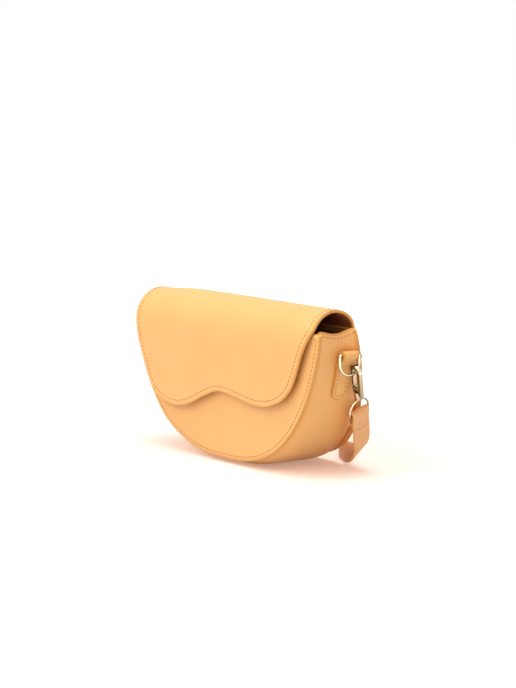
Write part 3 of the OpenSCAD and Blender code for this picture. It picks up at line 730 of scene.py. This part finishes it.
flapLook = {
    "thick": 1.6 * mm,
    "liningThick": 1.0 * mm,
    "gap": 0.1 * mm,
    "frontGap": 3.4 * mm,
    "archRise": 19 * mm,
    "shoulderDrop": 17 * mm,
    "rootHigh": 28 * mm,
    "peakShare": 0.56,
    "columns": 110,
    "rows": 78,
    "edgeWide": 0.8 * mm,
    "edgeProud": 0.06 * mm,
    "stitchIn": 4.6 * mm,
    "ripple": 0.5 * mm,
    "leftSag": 3.2 * mm,
    "sagFrom": 58 * mm,  # to the left of the middle
    "sagTo": 128 * mm,
    "topRight": 0.957,
    "topLeft": 0.965,
    "sagRise": 9 * mm,  # along the flap
    "sagPast": 14 * mm,
    "sagFade": 30 * mm,
    "backCurve": 0.58,
    "peakBack": 0.5,
    "peakFront": 0.46,
    "shoulderCurve": 0.72,
    "rootIn": 0.9 * mm,
    "corner": 4 * mm,
    "edgeSteps": 620,
    "stitchSteps": 900,
    "threadSink": 0.12 * mm,
    "swing": Vector((0, -0.912, 0.41)),  # the way across the bend
    "bendFrom": 0.5 * mm,
    "bendUp": 0.15 * mm,
    "bendLong": 5.5 * mm,
    "liningLater": 2.0 * mm,
}
flapAll = flapLook["thick"] + flapLook["gap"] + flapLook["liningThick"]
flapOutY = bag["frontY"] - flapLook["frontGap"] - flapAll
backTopZ = bag["mouthZ"] + bag["backRise"]
hinge = Vector((0, backAt(backTopZ) + flapLook["gap"] + flapAll, backTopZ))
archTop = bag["mouthZ"] + flapLook["archRise"]
shoulderZ = bag["mouthZ"] - flapLook["shoulderDrop"]
peakY = flapOutY + (hinge.y - flapOutY) * flapLook["peakShare"]
flapEdgeShares = [
    (0.955, 1.03), (0.932, 0.983), (0.882, 0.875), (0.838, 0.766), (0.785, 0.636), (0.734, 0.564), (0.651, 0.497),
    (0.526, 0.449), (0.42, 0.44), (0.336, 0.446), (0.229, 0.462), (0.12, 0.48), (0.03, 0.488), (-0.05, 0.478),
    (-0.13, 0.447), (-0.213, 0.41), (-0.327, 0.355), (-0.45, 0.322), (-0.558, 0.32), (-0.66, 0.348), (-0.735, 0.385),
    (-0.774, 0.43), (-0.812, 0.5), (-0.858, 0.6), (-0.904, 0.69), (-0.938, 0.785), (-0.956, 0.884), (-0.962, 0.96),
    (-0.963, 1.03)]


def bezier(p, t):
    return (p[0] * (1 - t) ** 3 + p[1] * 3 * t * (1 - t) ** 2 + p[2] * 3 * t * t * (1 - t) + p[3] * t ** 3)


def rootPoint(up):  # along the sewn strip, on its outer face; up from the panel's lowest edge
    out = flapLook["gap"] + flapAll
    return Vector((0, bag["frontY"] + bag["baseDepth"] - sin(lean) * up + cos(lean) * out,
                   bag["rimZ"] + cos(lean) * up + sin(lean) * out))


def flapProfile():
    top = (bag["height"] + bag["backRise"]) / cos(lean) - (flapLook["gap"] + flapAll) * tan(lean)
    line = [rootPoint(top - flapLook["rootHigh"] * (1 - k / 12)) for k in range(12)]
    back = [Vector((0, hinge.y, hinge.z + 0.3 * mm)),
            Vector((0, hinge.y, hinge.z + (archTop - hinge.z) * flapLook["backCurve"])),
            Vector((0, peakY + (hinge.y - peakY) * flapLook["peakBack"], archTop)), Vector((0, peakY, archTop))]
    front = [Vector((0, peakY, archTop)), Vector((0, peakY - (peakY - flapOutY) * flapLook["peakFront"], archTop)),
             Vector((0, flapOutY, shoulderZ + (archTop - shoulderZ) * flapLook["shoulderCurve"])),
             Vector((0, flapOutY, shoulderZ))]
    line += [bezier(back, k / 16) for k in range(17)] + [bezier(front, k / 20) for k in range(1, 21)]
    line += [Vector((0, flapOutY, shoulderZ - k * 4 * mm)) for k in range(1, 20)]
    return arcSpaced(evened(arcSpaced(line, 200), 4), profileSteps + 1)


profileSteps = 200
profile = flapProfile()
profileStep = lineLength(profile) / profileSteps
profileOut = [Vector((0, t.z, -t.y)) for t in tangentsOf(profile)]
peakIndex = max(range(profileSteps + 1), key=lambda k: profile[k].z)
hingeRun = min(range(peakIndex), key=lambda k: abs(profile[k].z - hinge.z)) * profileStep


def onProfile(s):
    t = min(max(s / profileStep, 0.0), profileSteps - 0.001)
    k = int(t)
    return profile[k].lerp(profile[k + 1], t - k), profileOut[k].lerp(profileOut[k + 1], t - k).normalized()


def flapOutAt(p):
    return onProfile(p.y)[1]


def flapPlace(p, out=0.0):
    spot, way = onProfile(p.y)
    return Vector((p.x, spot.y, spot.z)) + way * out


def frontRun(z):  # distance along the profile at a height on the front side
    k = peakIndex
    while k < profileSteps - 1 and profile[k + 1].z > z:
        k += 1
    drop = profile[k].z - profile[k + 1].z
    return (k + (profile[k].z - z) / drop if drop else k) * profileStep


edgeShape = smoothLine([Vector((x * bag["halfWidth"], z * bag["height"], 0)) for x, z in flapEdgeShares], 8)


def rimHalf(up):  # half width of the panel at a height
    k = max(0.0, 1 - up / bag["height"])
    return bag["halfWidth"] * sqrt(max(0.0, 1 - k ** bag["sidePower"])) ** (2 / bag["basePower"])


def flapSideAbove(side):  # from the sewn strip's lower corner over the arch to where the edge's list starts
    out = []
    start, top = (edgeShape[0], flapLook["topRight"]) if side > 0 else (edgeShape[-1], -flapLook["topLeft"])
    top *= bag["halfWidth"]
    stop = frontRun(bag["rimZ"] + start.y)
    for k in range(60):
        s = stop * k / 60
        spot = onProfile(s)[0]
        x = top
        if spot.z < hinge.z + 1 * mm and s < stop / 2:
            x = side * min(abs(top), rimHalf(spot.z - bag["rimZ"]) - bag["stitchIn"] - flapLook["rootIn"])
        share = max(0.0, (k - 48) / 12)
        out.append(Vector((x + (start.x - x) * share * share, s, 0)))
    return out


def edgePart(points):  # the edge's list, laid out along the profile
    return [Vector((p.x, frontRun(bag["rimZ"] + p.y), 0)) for p in points]


cornerUp = 0.5 * bag["height"]
rightFirst = next(k for k, p in enumerate(edgeShape) if p.y < cornerUp)
leftFirst = max(k for k, p in enumerate(edgeShape) if p.y < cornerUp and p.x < 0)
rightSide = flapSideAbove(1) + edgePart(edgeShape[:rightFirst + 1])
leftSide = flapSideAbove(-1) + edgePart(edgeShape[leftFirst:][::-1])
wave = edgePart(edgeShape[rightFirst:leftFirst + 1])
for side in (leftSide, rightSide):  # eases the sides where two rules meet
    for turn in range(6):
        for k in range(1, len(side) - 1):
            side[k] = (side[k - 1] + side[k] * 2 + side[k + 1]) / 4
rootLine = [leftSide[0], rightSide[0]]
flapOutline = [rootLine[0].lerp(rootLine[1], k / 60) for k in range(60)] + rightSide[:-1] + wave[:-1] + leftSide[:0:-1]
flapOutline = arcSpaced(softCorners(flapOutline, flapLook["corner"]), flapLook["edgeSteps"], closed=True)


def flapRipple(p):
    soft = noise.noise(Vector((p.x * 14, p.y * 10, 4.0))) * flapLook["ripple"]
    front = max(0.0, min(1.0, (p.y - peakIndex * profileStep) / (30 * mm)))
    edge = max(0.0, 1 - (abs(p.x) / bag["halfWidth"]) ** 4)
    return (soft + 0.5 * mm) * edge * (0.25 + 0.75 * front)


def flapSag(p):  # the bend over the mouth sinks towards its left end
    look = flapLook
    past = p.y - peakIndex * profileStep - look["sagPast"]
    over = easeStep(0, look["sagRise"], p.y - hingeRun) * (1 - easeStep(0, look["sagFade"], past))
    return Vector((0, 0, -look["leftSag"] * over * easeStep(look["sagFrom"], look["sagTo"], -p.x)))


def flapFace(p, depth=0.0):
    return flapPlace(p, flapRipple(p) - depth) + flapSag(p)


def flapSheet():
    return sheetGrid(flapLook["columns"], flapLook["rows"], rootLine, wave[::-1], leftSide, rightSide)


def followFlap(piece):
    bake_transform(piece)


up = Vector((0, -0.5, 0.5))
outer = flapSheet()
bendSheet(outer, flapFace, up)
flapLeather = finishPiece("flapLeather", outer, apricotLeather, None, ("flap", "flap_root"))
addSolidify(flapLeather, flapLook["thick"])
inner = flapSheet()
bendSheet(inner, lambda p: flapFace(p, flapLook["thick"] + flapLook["gap"]), up)
flapInside = finishPiece("flapInside", inner, flapLiningPaintedShade, None, ("flap_lining",))
addSolidify(flapInside, flapLook["liningThick"])
bead = bmesh.new()
edgeBead(bead, flapOutline, lambda p, out: flapFace(p, -out), flapOutAt, flapLook["edgeWide"] * 0.92,
         flapLook["edgeWide"], flapAll / 2 + flapLook["edgeProud"], flapAll / 2)
flapEdge = finishPiece("flapEdge", bead, edgePaint, None, ("flap",))
inset = [p + n * flapLook["stitchIn"] for p, n in zip(flapOutline, inwardWays(flapOutline, closed=True))]
inset = arcSpaced(inset, flapLook["stitchSteps"], closed=True)
stitches = bmesh.new()
stitchLine = [flapFace(p, -flapLook["threadSink"]) for p in inset]


def nearestOut(spot):
    k = min(range(profileSteps + 1), key=lambda i: (profile[i].y - spot.y) ** 2 + (profile[i].z - spot.z) ** 2)
    return profileOut[k]


sewStitches(stitches, stitchLine + [stitchLine[0]], nearestOut)
flapStitches = finishPiece("flapStitches", stitches, threadAndPaintedHoleShade, None, ("flap_thread", "flap_root_thread"))
for piece in (flapLeather, flapEdge, flapStitches):
    followFlap(piece)
followFlap(flapInside)
print("stage: flap")


# side tabs

tabLook = {
    "y": -5.75 * mm,
    "barX": 132.413 * mm,
    "barZ": 105 * mm,
    "low": 66 * mm,
    "lowShare": 0.9,
    "band": 1.0 * mm,
    "turnLong": 9 * mm,
    "lift": 2.4 * mm,
    "thick": 1.8 * mm,
    "wireRadius": 1.25 * mm,
    "halfWide": 8.6 * mm,
    "turnedHalf": 7.2 * mm,
    "columns": 14,
    "endRows": 12,
    "rows": 70,
    "stitchIn": 2.7 * mm,
    "corner": 8.5 * mm,
    "rimRise": 0.12 * mm,
    "rimFrom": 0.78,
    "narrowFrom": 4 * mm,  # past the fold
    "narrowLong": 9 * mm,
    "widenLong": 6 * mm,
    "stitchTop": 32 * mm,
    "turnedStitch": 2.6 * mm,
}
crestLine = [(bag["rimZ"] + c.y, c.x) for c in
             [p + n * (bag["seam"] - wallRise(0.5, p.y)) for p, n in zip(rimLine, inwardLine)] if c.x > 0]


def crestX(z):
    for (z0, x0), (z1, x1) in zip(crestLine, crestLine[1:]):
        if z0 <= z <= z1:
            return x0 + (x1 - x0) * (z - z0) / (z1 - z0)
    return crestLine[-1][1]


def tabPath():  # up the wall, round the ring's bar and down again
    barX, barZ, turnLong = tabLook["barX"], tabLook["barZ"], tabLook["turnLong"]
    half = tabLook["thick"] / 2
    radius = tabLook["wireRadius"] + 0.1 * mm + half
    turnZ = barZ - turnLong
    line = []
    for k in range(25):
        z = tabLook["low"] + (barZ - tabLook["low"]) * k / 24
        lift = tabLook["lift"] * max(0.0, (z - turnZ) / turnLong)
        line.append(Vector((crestX(z) + 0.3 * mm + lift + half, 0, z)))
    line[-1].x = barX - radius
    for k in range(1, 13):
        a = pi * (1 - k / 12)
        line.append(Vector((barX + radius * cos(a), 0, barZ + radius * sin(a))))
    landX = crestX(turnZ) + 0.4 * mm + tabLook["thick"] * 1.5
    for k in range(1, 9):
        t = k / 8
        line.append(Vector((barX + radius + (landX - barX - radius) * easeStep(0, 1, t), 0, barZ - turnLong * t)))
    return evened(arcSpaced(line, 140), 3)


tabLine = tabPath()
tabLong = lineLength(tabLine)
tabOut = [Vector((t.z, 0, -t.x)) for t in tangentsOf(tabLine)]
foldAt = tabLook["barZ"] - tabLook["low"]


def tabHalf(run):  # half width at a distance along the tab: a round end, then wider, then the narrow turned end
    r = tabLook["corner"]
    if run < r:
        return max(sqrt(r * r - (r - run) ** 2), 0.5 * mm) * tabLook["lowShare"]
    past = run - foldAt
    if past > tabLook["narrowFrom"]:
        share = min(1.0, (past - tabLook["narrowFrom"]) / tabLook["narrowLong"])
        half = tabLook["halfWide"] + (tabLook["turnedHalf"] - tabLook["halfWide"]) * share
        left = tabLong - run
        return half - (1.2 * mm) * max(0.0, 1 - left / (1.5 * mm)) ** 2
    full = r + (tabLook["halfWide"] - r) * max(0.0, min(1.0, past / tabLook["widenLong"] + 1))
    return full * (tabLook["lowShare"] + (1 - tabLook["lowShare"]) * easeStep(r, foldAt, run))


def tabSpot(run, across, out=0.0):
    t = min(max(run / tabLong, 0.0), 0.99999) * (len(tabLine) - 1)
    k = int(t)
    spot = tabLine[k].lerp(tabLine[k + 1], t - k)
    way = tabOut[k].lerp(tabOut[k + 1], t - k).normalized()
    return Vector((spot.x, tabLook["y"] + across, spot.z)) + way * out


def mirrored(v, side):
    return Vector((v.x * side, v.y, v.z))


def makeTab(side, name):
    corner, rows, endRows = tabLook["corner"], tabLook["rows"], tabLook["endRows"]
    node = name.lower()
    runs = [corner * (1 - cos(pi / 2 * k / endRows)) for k in range(endRows)]
    runs += [corner + (tabLong - corner) * k / rows for k in range(rows + 1)]
    bm = bmesh.new()
    bmesh.ops.create_grid(bm, x_segments=tabLook["columns"], y_segments=len(runs) - 1, size=0.5)
    for f in bm.faces:  # the painted edge laps a little onto the face
        c = f.calc_center_median()
        run = runs[int((c.y + 0.5) * (len(runs) - 1))]
        if min((1 - abs(2 * c.x)) * tabHalf(run), run) < tabLook["band"]:
            f.material_index = 1
    for v in bm.verts:
        run = runs[round((v.co.y + 0.5) * (len(runs) - 1))]
        u = 2 * v.co.x
        rim = max(0.0, abs(u) - tabLook["rimFrom"]) / (1 - tabLook["rimFrom"])
        v.co = mirrored(tabSpot(run, u * tabHalf(run), tabLook["rimRise"] * rim), side)
    faceOut(bm, Vector((side, 0, 0)))
    tab = finishPiece("sideTab" + name, bm, apricotLeather, "bag", ("tab_" + node,), extra=(edgePaint,))
    addSolidify(tab, tabLook["thick"], offset=0.0)
    tab.modifiers["wall"].material_offset_rim = 1
    addBevel(tab, 0.45 * mm, 60)
    bm = bmesh.new()
    half = corner * tabLook["lowShare"] - tabLook["stitchIn"]
    outline = [(corner + (tabLook["stitchTop"] - corner) * (1 - k / 10), half) for k in range(10)]
    outline += [(corner - half * sin(pi * k / 16), half * cos(pi * k / 16)) for k in range(17)]
    outline += [(run, -across) for run, across in outline[:10][::-1]]
    out = tabLook["thick"] / 2 + tabLook["rimRise"]
    line = [mirrored(tabSpot(run, across, out), side) for run, across in outline]
    sewStitches(bm, line, Vector((side, 0, -0.2)))
    line = [mirrored(tabSpot(tabLong - tabLook["turnedStitch"], y * mm, out), side) for y in (-5.6, 0, 5.6)]
    sewStitches(bm, line, Vector((side, 0, 0.2)))
    finishPiece("tabStitches" + name, bm, threadAndPaintedHoleShade, "bag", ("tab_thread_" + node,))


# D-rings

ringLook = {"half": 10 * mm, "leg": 7 * mm, "corner": 1.7 * mm}


def wirePath(half, leg, corner, way):  # closed: a straight bar, rounded corners, straight sides, a half circle
    def bend(side, k):
        a = pi / 2 * k / 6
        return Vector((0, side * (half - corner + corner * sin(a)), way * corner * (1 - cos(a))))

    line = [Vector((0, -half + corner + (2 * half - 2 * corner) * k / 10, 0)) for k in range(11)]
    line += [bend(1, k) for k in range(1, 7)]
    line += [Vector((0, half, way * (corner + (leg - corner) * k / 4))) for k in range(1, 5)]
    line += [Vector((0, half * cos(pi * k / 36), way * (leg + half * sin(pi * k / 36))))
             for k in range(1, 37)]
    line += [Vector((0, -half, way * (leg + (corner - leg) * k / 4))) for k in range(1, 5)]
    return line + [bend(-1, 6 - k) for k in range(1, 6)]


def makeWire(line, radius, place):
    bm = bmesh.new()
    line = arcSpaced(line, 110, closed=True)
    rings = []
    across = Vector((1, 0, 0))
    for p, t in zip(line, tangentsOf(line, closed=True)):
        rings.append([place(q) for q in ovalRing(p, across, t.cross(across).normalized(), radius, radius, 14)])
    sweptTube(bm, rings, around=True)
    return bm


def makeRing(side, name):
    centre = Vector((tabLook["barX"], tabLook["y"], tabLook["barZ"]))
    line = wirePath(ringLook["half"], ringLook["leg"], ringLook["corner"], -1)
    bm = makeWire(line, tabLook["wireRadius"], lambda q: mirrored(centre + q, side))
    low = name.lower()
    finishPiece("dRing" + name, bm, paleGold, "ring_" + low, ("d_ring_" + low,))


# snap hooks and swivel eyes

hookLook = {
    "hang": Vector((132.413, 1.05, 90.668)) * mm,
    "back": 20,
    "inward": 21.5,
    "strapTurn": 8,
    "axisX": 0.86 * mm,
    "collarZ": -27.39 * mm,
    "eyeTopZ": -28.59 * mm,
    "barDown": -41.44 * mm,
    "eyeHalf": 10.35 * mm,
    "eyeLeg": 2.5 * mm,
    "eyeCorner": 1.4 * mm,
    "eyeRadius": 0.95 * mm,
    "stemRadius": 1.2 * mm,
    "round": 0.32 * mm,
    "stemSteps": [  # measured from, mm above it, share of the stem's radius
        ("eyeTopZ", -1.0, 0.9), ("eyeTopZ", -0.7, 1.4), ("eyeTopZ", 0.2, 1.55), ("collarZ", -0.25, 1.55),
        ("collarZ", -0.02, 1.35), ("collarZ", 0.0, 1.0), ("collarZ", 6.0, 1.0), ("collarZ", 6.3, 0.8)],
}


def turned(key, axis):
    return Matrix.Rotation(radians(hookLook[key]), 4, axis)


def swivelPlace(side):  # what it returns takes a point measured from the swivel's axis
    axis = Matrix.Translation(Vector((hookLook["axisX"], 0, 0)))
    whole = (Matrix.Translation(hookLook["hang"]) @ (turned("inward", "Y") @ turned("back", "X"))
             @ (axis @ turned("strapTurn", "Z")))
    return lambda v: mirrored(whole @ v, side)


def softenedCopy(node, name, body):  # the exact casting with rounded edges
    bm = bmesh.new()
    bm.from_mesh(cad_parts[node].data)
    bmesh.ops.remove_doubles(bm, verts=bm.verts, dist=2e-6)
    bmesh.ops.dissolve_limit(bm, angle_limit=radians(1.5), verts=bm.verts, edges=bm.edges)
    piece = finishPiece(name, bm, paleGold, body, (node,))
    addBevel(piece, hookLook["round"], 38)
    piece.modifiers["edges"].harden_normals = True


def lathe(bm, place, steps):  # steps: height and radius along the local z axis
    x, y = Vector((1, 0, 0)), Vector((0, 1, 0))
    sweptTube(bm, [[place(q) for q in ovalRing(Vector((0, 0, z)), x, y, r, r, 24)] for z, r in steps])


def makeHook(side, name):
    low = name.lower()
    softenedCopy("hook_body_" + low, "hookBody" + name, "hook_" + low)
    softenedCopy("gate_" + low, "hookGate" + name, "gate_lever_" + low)
    place = swivelPlace(side)
    line = wirePath(hookLook["eyeHalf"], hookLook["eyeLeg"], hookLook["eyeCorner"], 1)
    drop = Vector((0, 0, hookLook["barDown"]))
    bm = makeWire(line, hookLook["eyeRadius"], lambda q: place(q + drop))
    lathe(bm, place, [(hookLook[key] + up * mm, hookLook["stemRadius"] * wide)
                      for key, up, wide in hookLook["stemSteps"]])
    finishPiece("swivelEye" + name, bm, paleGold, "swivel_" + low, ("swivel_eye_" + low,))


# strap ends

strapLook = {
    "halfWide": 9 * mm,
    "thick": 2.4 * mm,
    "outerLong": 14 * mm,
    "turnedLong": 15 * mm,
    "spread": 4.2 * mm,
    "foldFrom": 6.4 * mm,
    "endCorner": 0.8,
    "leastHalf": 1.5 * mm,
    "rivetDown": 8.6 * mm,
    "rivetApart": 3.6 * mm,
    "rivetRadius": 0.9 * mm,
    "rivetSteps": [(-0.4, 1.2), (1.9, 1.0), (2.35, 1.15), (2.6, 1.1), (2.8, 0.6)],  # height in mm, share of the radius
}


def paintSides(bm, acrossAt):  # gives the faces on the two long edges the second material
    bm.normal_update()
    for f in bm.faces:
        if abs(f.normal.dot(acrossAt(f))) > 0.75:
            f.material_index = 1


def strapRing(p, wide, high, half):
    return ovalRing(p, wide, high, half, strapLook["thick"] / 2, 16, square=0.42)


def strapEndPath():  # centre line round the eye's bar, in the hook's x and z
    half = strapLook["thick"] / 2
    radius = hookLook["eyeRadius"] + 0.1 * mm + half
    line = [Vector((half, 0, -strapLook["outerLong"] * (1 - k / 6))) for k in range(4)]
    line += [Vector((half + (radius - half) * t, 0, strapLook["foldFrom"] * (t - 1))) for t in (0.15, 0.4, 0.7, 1.0)]
    line += [Vector((cos(pi * k / 12), 0, sin(pi * k / 12))) * radius for k in range(1, 13)]
    spread = strapLook["spread"]
    for k in range(1, 11):
        t = k / 10
        x = -half - (radius - half) * max(0.0, 1 - 2.5 * t) - spread * sin(pi * min(1.0, t * 1.08)) ** 1.5
        line.append(Vector((x, 0, -strapLook["turnedLong"] * t)))
    return evened(arcSpaced(line, 120), 4)


def makeStrapEnd(side, name):
    low = name.lower()
    place = swivelPlace(side)
    drop = Vector((0, 0, hookLook["barDown"]))
    line = strapEndPath()
    rings = []
    left = lineLength(line)
    across = Vector((0, 1, 0))
    r = strapLook["halfWide"] * strapLook["endCorner"]
    for k, (p, t) in enumerate(zip(line, tangentsOf(line))):
        left -= (p - line[k - 1]).length if k else 0.0
        half = strapLook["halfWide"]
        if left < r:  # the turned end is round
            half = half - r + sqrt(max(r * r - (r - left) ** 2, 0.0))
        ring = strapRing(p, across, across.cross(t).normalized(), max(half, strapLook["leastHalf"]))
        rings.append([place(q + drop) for q in ring])
    bm = bmesh.new()
    sweptTube(bm, rings)
    side = (place(across + drop) - place(drop)).normalized()
    paintSides(bm, lambda f: side)
    finishPiece("strapEnd" + name, bm, strapLeather, "swivel_" + low, ("strap_end_" + low,),
                extra=(edgePaint,))
    rivets = bmesh.new()
    steps = [(z * mm, strapLook["rivetRadius"] * wide) for z, wide in strapLook["rivetSteps"]]
    quarter = Matrix.Rotation(radians(90), 4, "Y")
    for y in (-strapLook["rivetApart"], strapLook["rivetApart"]):
        centre = drop + Vector((0, y, -strapLook["rivetDown"]))
        lathe(rivets, lambda q, c=centre: place(c + quarter @ q), steps)
    finishPiece("strapRivets" + name, rivets, paleGold, "swivel_" + low, ("strap_rivets_" + low,))


for side, name in ((1, "Right"), (-1, "Left")):
    makeTab(side, name)
    makeRing(side, name)
    makeHook(side, name)
    makeStrapEnd(side, name)
print("stage: tabs, rings, hooks and strap ends")


# loose strap

routeLook = {"runZ": 9.2, "turnRadius": 12}  # in mm, like the lists below


def halfTurn(x, y, way):
    r = routeLook["turnRadius"]
    return [(x + way * r * cos(radians(a)), y + r * sin(radians(a)), routeLook["runZ"])
            for a in (90, 60, 30, 0, -30, -60, -90)]


firstPart = [(115.1, 20.3, 41.3), (112.6, 22.7, 35.1), (109.8, 25.2, 28.2), (105.4, 28, 21.2), (97.2, 31.6, 16.1),
             (84, 36.2, 12.8), (70, 42, 10.8), (55, 49, 9.6)]
farPart = [(38, 58, 9.2), (20, 73, 9.2), (3, 89, 9.2), (-15, 105, 9.2), (-35, 120, 9.2), (-55, 132, 9.2),
           (-78, 141, 9.2), (-102, 146, 9.2)]
lastPart = [(-x, y, z) for x, y, z in firstPart[::-1]]
lastPart[0] = (-55, 48, 9.6)
route = firstPart + farPart + halfTurn(-150, 135, -1) + halfTurn(-62, 111, 1)
route += halfTurn(-146, 87, -1) + halfTurn(-34, 63, 1) + lastPart
firstAcross = [(-0.005, 0.931, 0.366), (-0.005, 0.931, 0.366), (-0.04, 0.92, 0.38), (-0.1, 0.89, 0.42),
               (-0.1, 0.75, 0.65), (-0.06, 0.5, 0.85), (-0.03, 0.25, 0.95), (0, 0, 1)]
routePoints = [Vector(p) * mm for p in route]
acrossPoints = ([Vector(a) for a in firstAcross] + [Vector((0, 0, 1))] * (len(route) - 16)
                + [Vector((-a[0], a[1], a[2])) for a in firstAcross[::-1]])


def strapCourse():
    runs = [0.0]
    for a, b in zip(routePoints, routePoints[1:]):
        runs.append(runs[-1] + (b - a).length)
    count = int(runs[-1] / (3 * mm))
    line = arcSpaced(routePoints, count)
    ways, k = [], 0
    for i in range(count):
        want = runs[-1] * i / (count - 1)
        while k < len(runs) - 2 and runs[k + 1] < want:
            k += 1
        ways.append(acrossPoints[k].lerp(acrossPoints[k + 1], min(1.0, (want - runs[k]) / (runs[k + 1] - runs[k]))))
    return evened(line, 3), evened(ways, 3)


course, courseAcross = strapCourse()
strapMesh = bmesh.new()
strapRings = []
for p, t, a in zip(course, tangentsOf(course), courseAcross):
    wide = (a - t * a.dot(t)).normalized()
    strapRings.append(strapRing(p, wide, t.cross(wide), strapLook["halfWide"]))
sweptTube(strapMesh, strapRings)


def acrossNear(face):
    middle = face.calc_center_median()
    k = min(range(len(course)), key=lambda i: (course[i] - middle).length_squared)
    return courseAcross[k].normalized()


paintSides(strapMesh, acrossNear)
strapMain = finishPiece("strapMain", strapMesh, strapLeather, "bag", ("strap",), extra=(edgePaint,))
print("stage: strap")


# CAD nodes that stay, in better materials

keptNodes = (
    (greyBoard, ["front_board", "back_board", "base_board"]),
    (paleGold, ["snap_socket", "snap_stud"]),
    (brightSteel, ["snap_socket_washer", "snap_stud_washer", "gate_pin_right", "gate_pin_left",
                   "gate_spring_right", "gate_spring_left"]),
)
for material, names in keptNodes:
    for name in names:
        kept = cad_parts[name].data.materials
        kept.clear()
        kept.append(material)
print("stage: kept nodes")


# floor and light

studio = {
    "floorColour": (0.80, 0.80, 0.81),
    "floorHalf": 4.0,
    # painted warm bounce light from the leather, glowing on the floor near the bag
    "paintedBounceNear": (0.42, 0.26, 0.19),
    "glowFar": (0.75, 0.75, 0.75),
    "glowFrom": 0.12,  # metres from the middle of the base
    "glowTo": 0.42,
    "fill": (0.43, 0.385, 0.34),
    "lamps": [  # place, size, power
        ("keyLamp", Vector((-0.25, -1.55, 1.40)), 1.6, 17.5),
        ("sideLamp", Vector((1.7, -0.6, 1.2)), 1.9, 7.0),
        ("topLamp", Vector((0.15, -0.25, 1.9)), 1.5, 21.0),
    ],
}


def cameraOrGlossy(tree):  # 1 for what the camera and the reflections see, 0 for the light itself
    path = addNode(tree, "ShaderNodeLightPath")
    seen = addNode(tree, "ShaderNodeMath", operation="MAXIMUM")
    joinNodes(tree, (path, "Is Camera Ray", seen, 0), (path, "Is Glossy Ray", seen, 1))
    return seen


def makeFloor():
    bm = bmesh.new()
    bmesh.ops.create_grid(bm, x_segments=8, y_segments=8, size=studio["floorHalf"])
    mesh = bpy.data.meshes.new("studioFloor")
    bm.to_mesh(mesh)
    bm.free()
    floor = bpy.data.objects.new("studioFloor", mesh)
    bpy.context.scene.collection.objects.link(floor)
    material, tree, shader = newMaterial("studioFloorPaint", {
        "Base Color": (*studio["floorColour"], 1), "Roughness": 0.9, "Specular IOR Level": 0.1})
    seen = cameraOrGlossy(tree)
    glow = addNode(tree, "ShaderNodeEmission")
    coord = addNode(tree, "ShaderNodeTexCoord")
    away = addNode(tree, "ShaderNodeVectorMath", operation="LENGTH")
    spread = addNode(tree, "ShaderNodeMapRange", {"From Min": studio["glowFrom"], "From Max": studio["glowTo"]},
                     interpolation_type="SMOOTHSTEP")
    # near the bag the floor's glow turns into the painted warm bounce light
    paintedBounceTint = addMix(tree, studio["paintedBounceNear"], studio["glowFar"])
    add = addNode(tree, "ShaderNodeAddShader")
    joinNodes(tree, (coord, "Object", away, 0), (away, "Value", spread, "Value"),
              (spread, "Result", paintedBounceTint, "Factor"), (paintedBounceTint, "Result", glow, "Color"), (seen, 0, glow, "Strength"),
              (shader, 0, add, 0), (glow, 0, add, 1), (add, 0, tree.nodes["Material Output"], "Surface"))
    mesh.materials.append(material)


def makeWorld():
    world = bpy.data.worlds.new("studioWorld")
    bpy.context.scene.world = world
    world.use_nodes = True
    tree = world.node_tree
    level = addMix(tree, studio["fill"], (1, 1, 1))
    joinNodes(tree, (cameraOrGlossy(tree), 0, level, "Factor"),
              (level, "Result", tree.nodes["Background"], "Color"))


def makeLamps():
    aim = Vector((0, 0, 0.08))
    for name, place, size, power in studio["lamps"]:
        data = bpy.data.lights.new(name, "AREA")
        data.shape = "DISK"
        data.size = size
        data.energy = power
        lamp = bpy.data.objects.new(name, data)
        lamp.matrix_world = Matrix.Translation(place) @ (aim - place).to_track_quat("-Z", "Y").to_matrix().to_4x4()
        bpy.context.scene.collection.objects.link(lamp)


makeFloor()
makeWorld()
makeLamps()
bpy.context.scene.view_settings.view_transform = "Standard"
print("stage: studio")
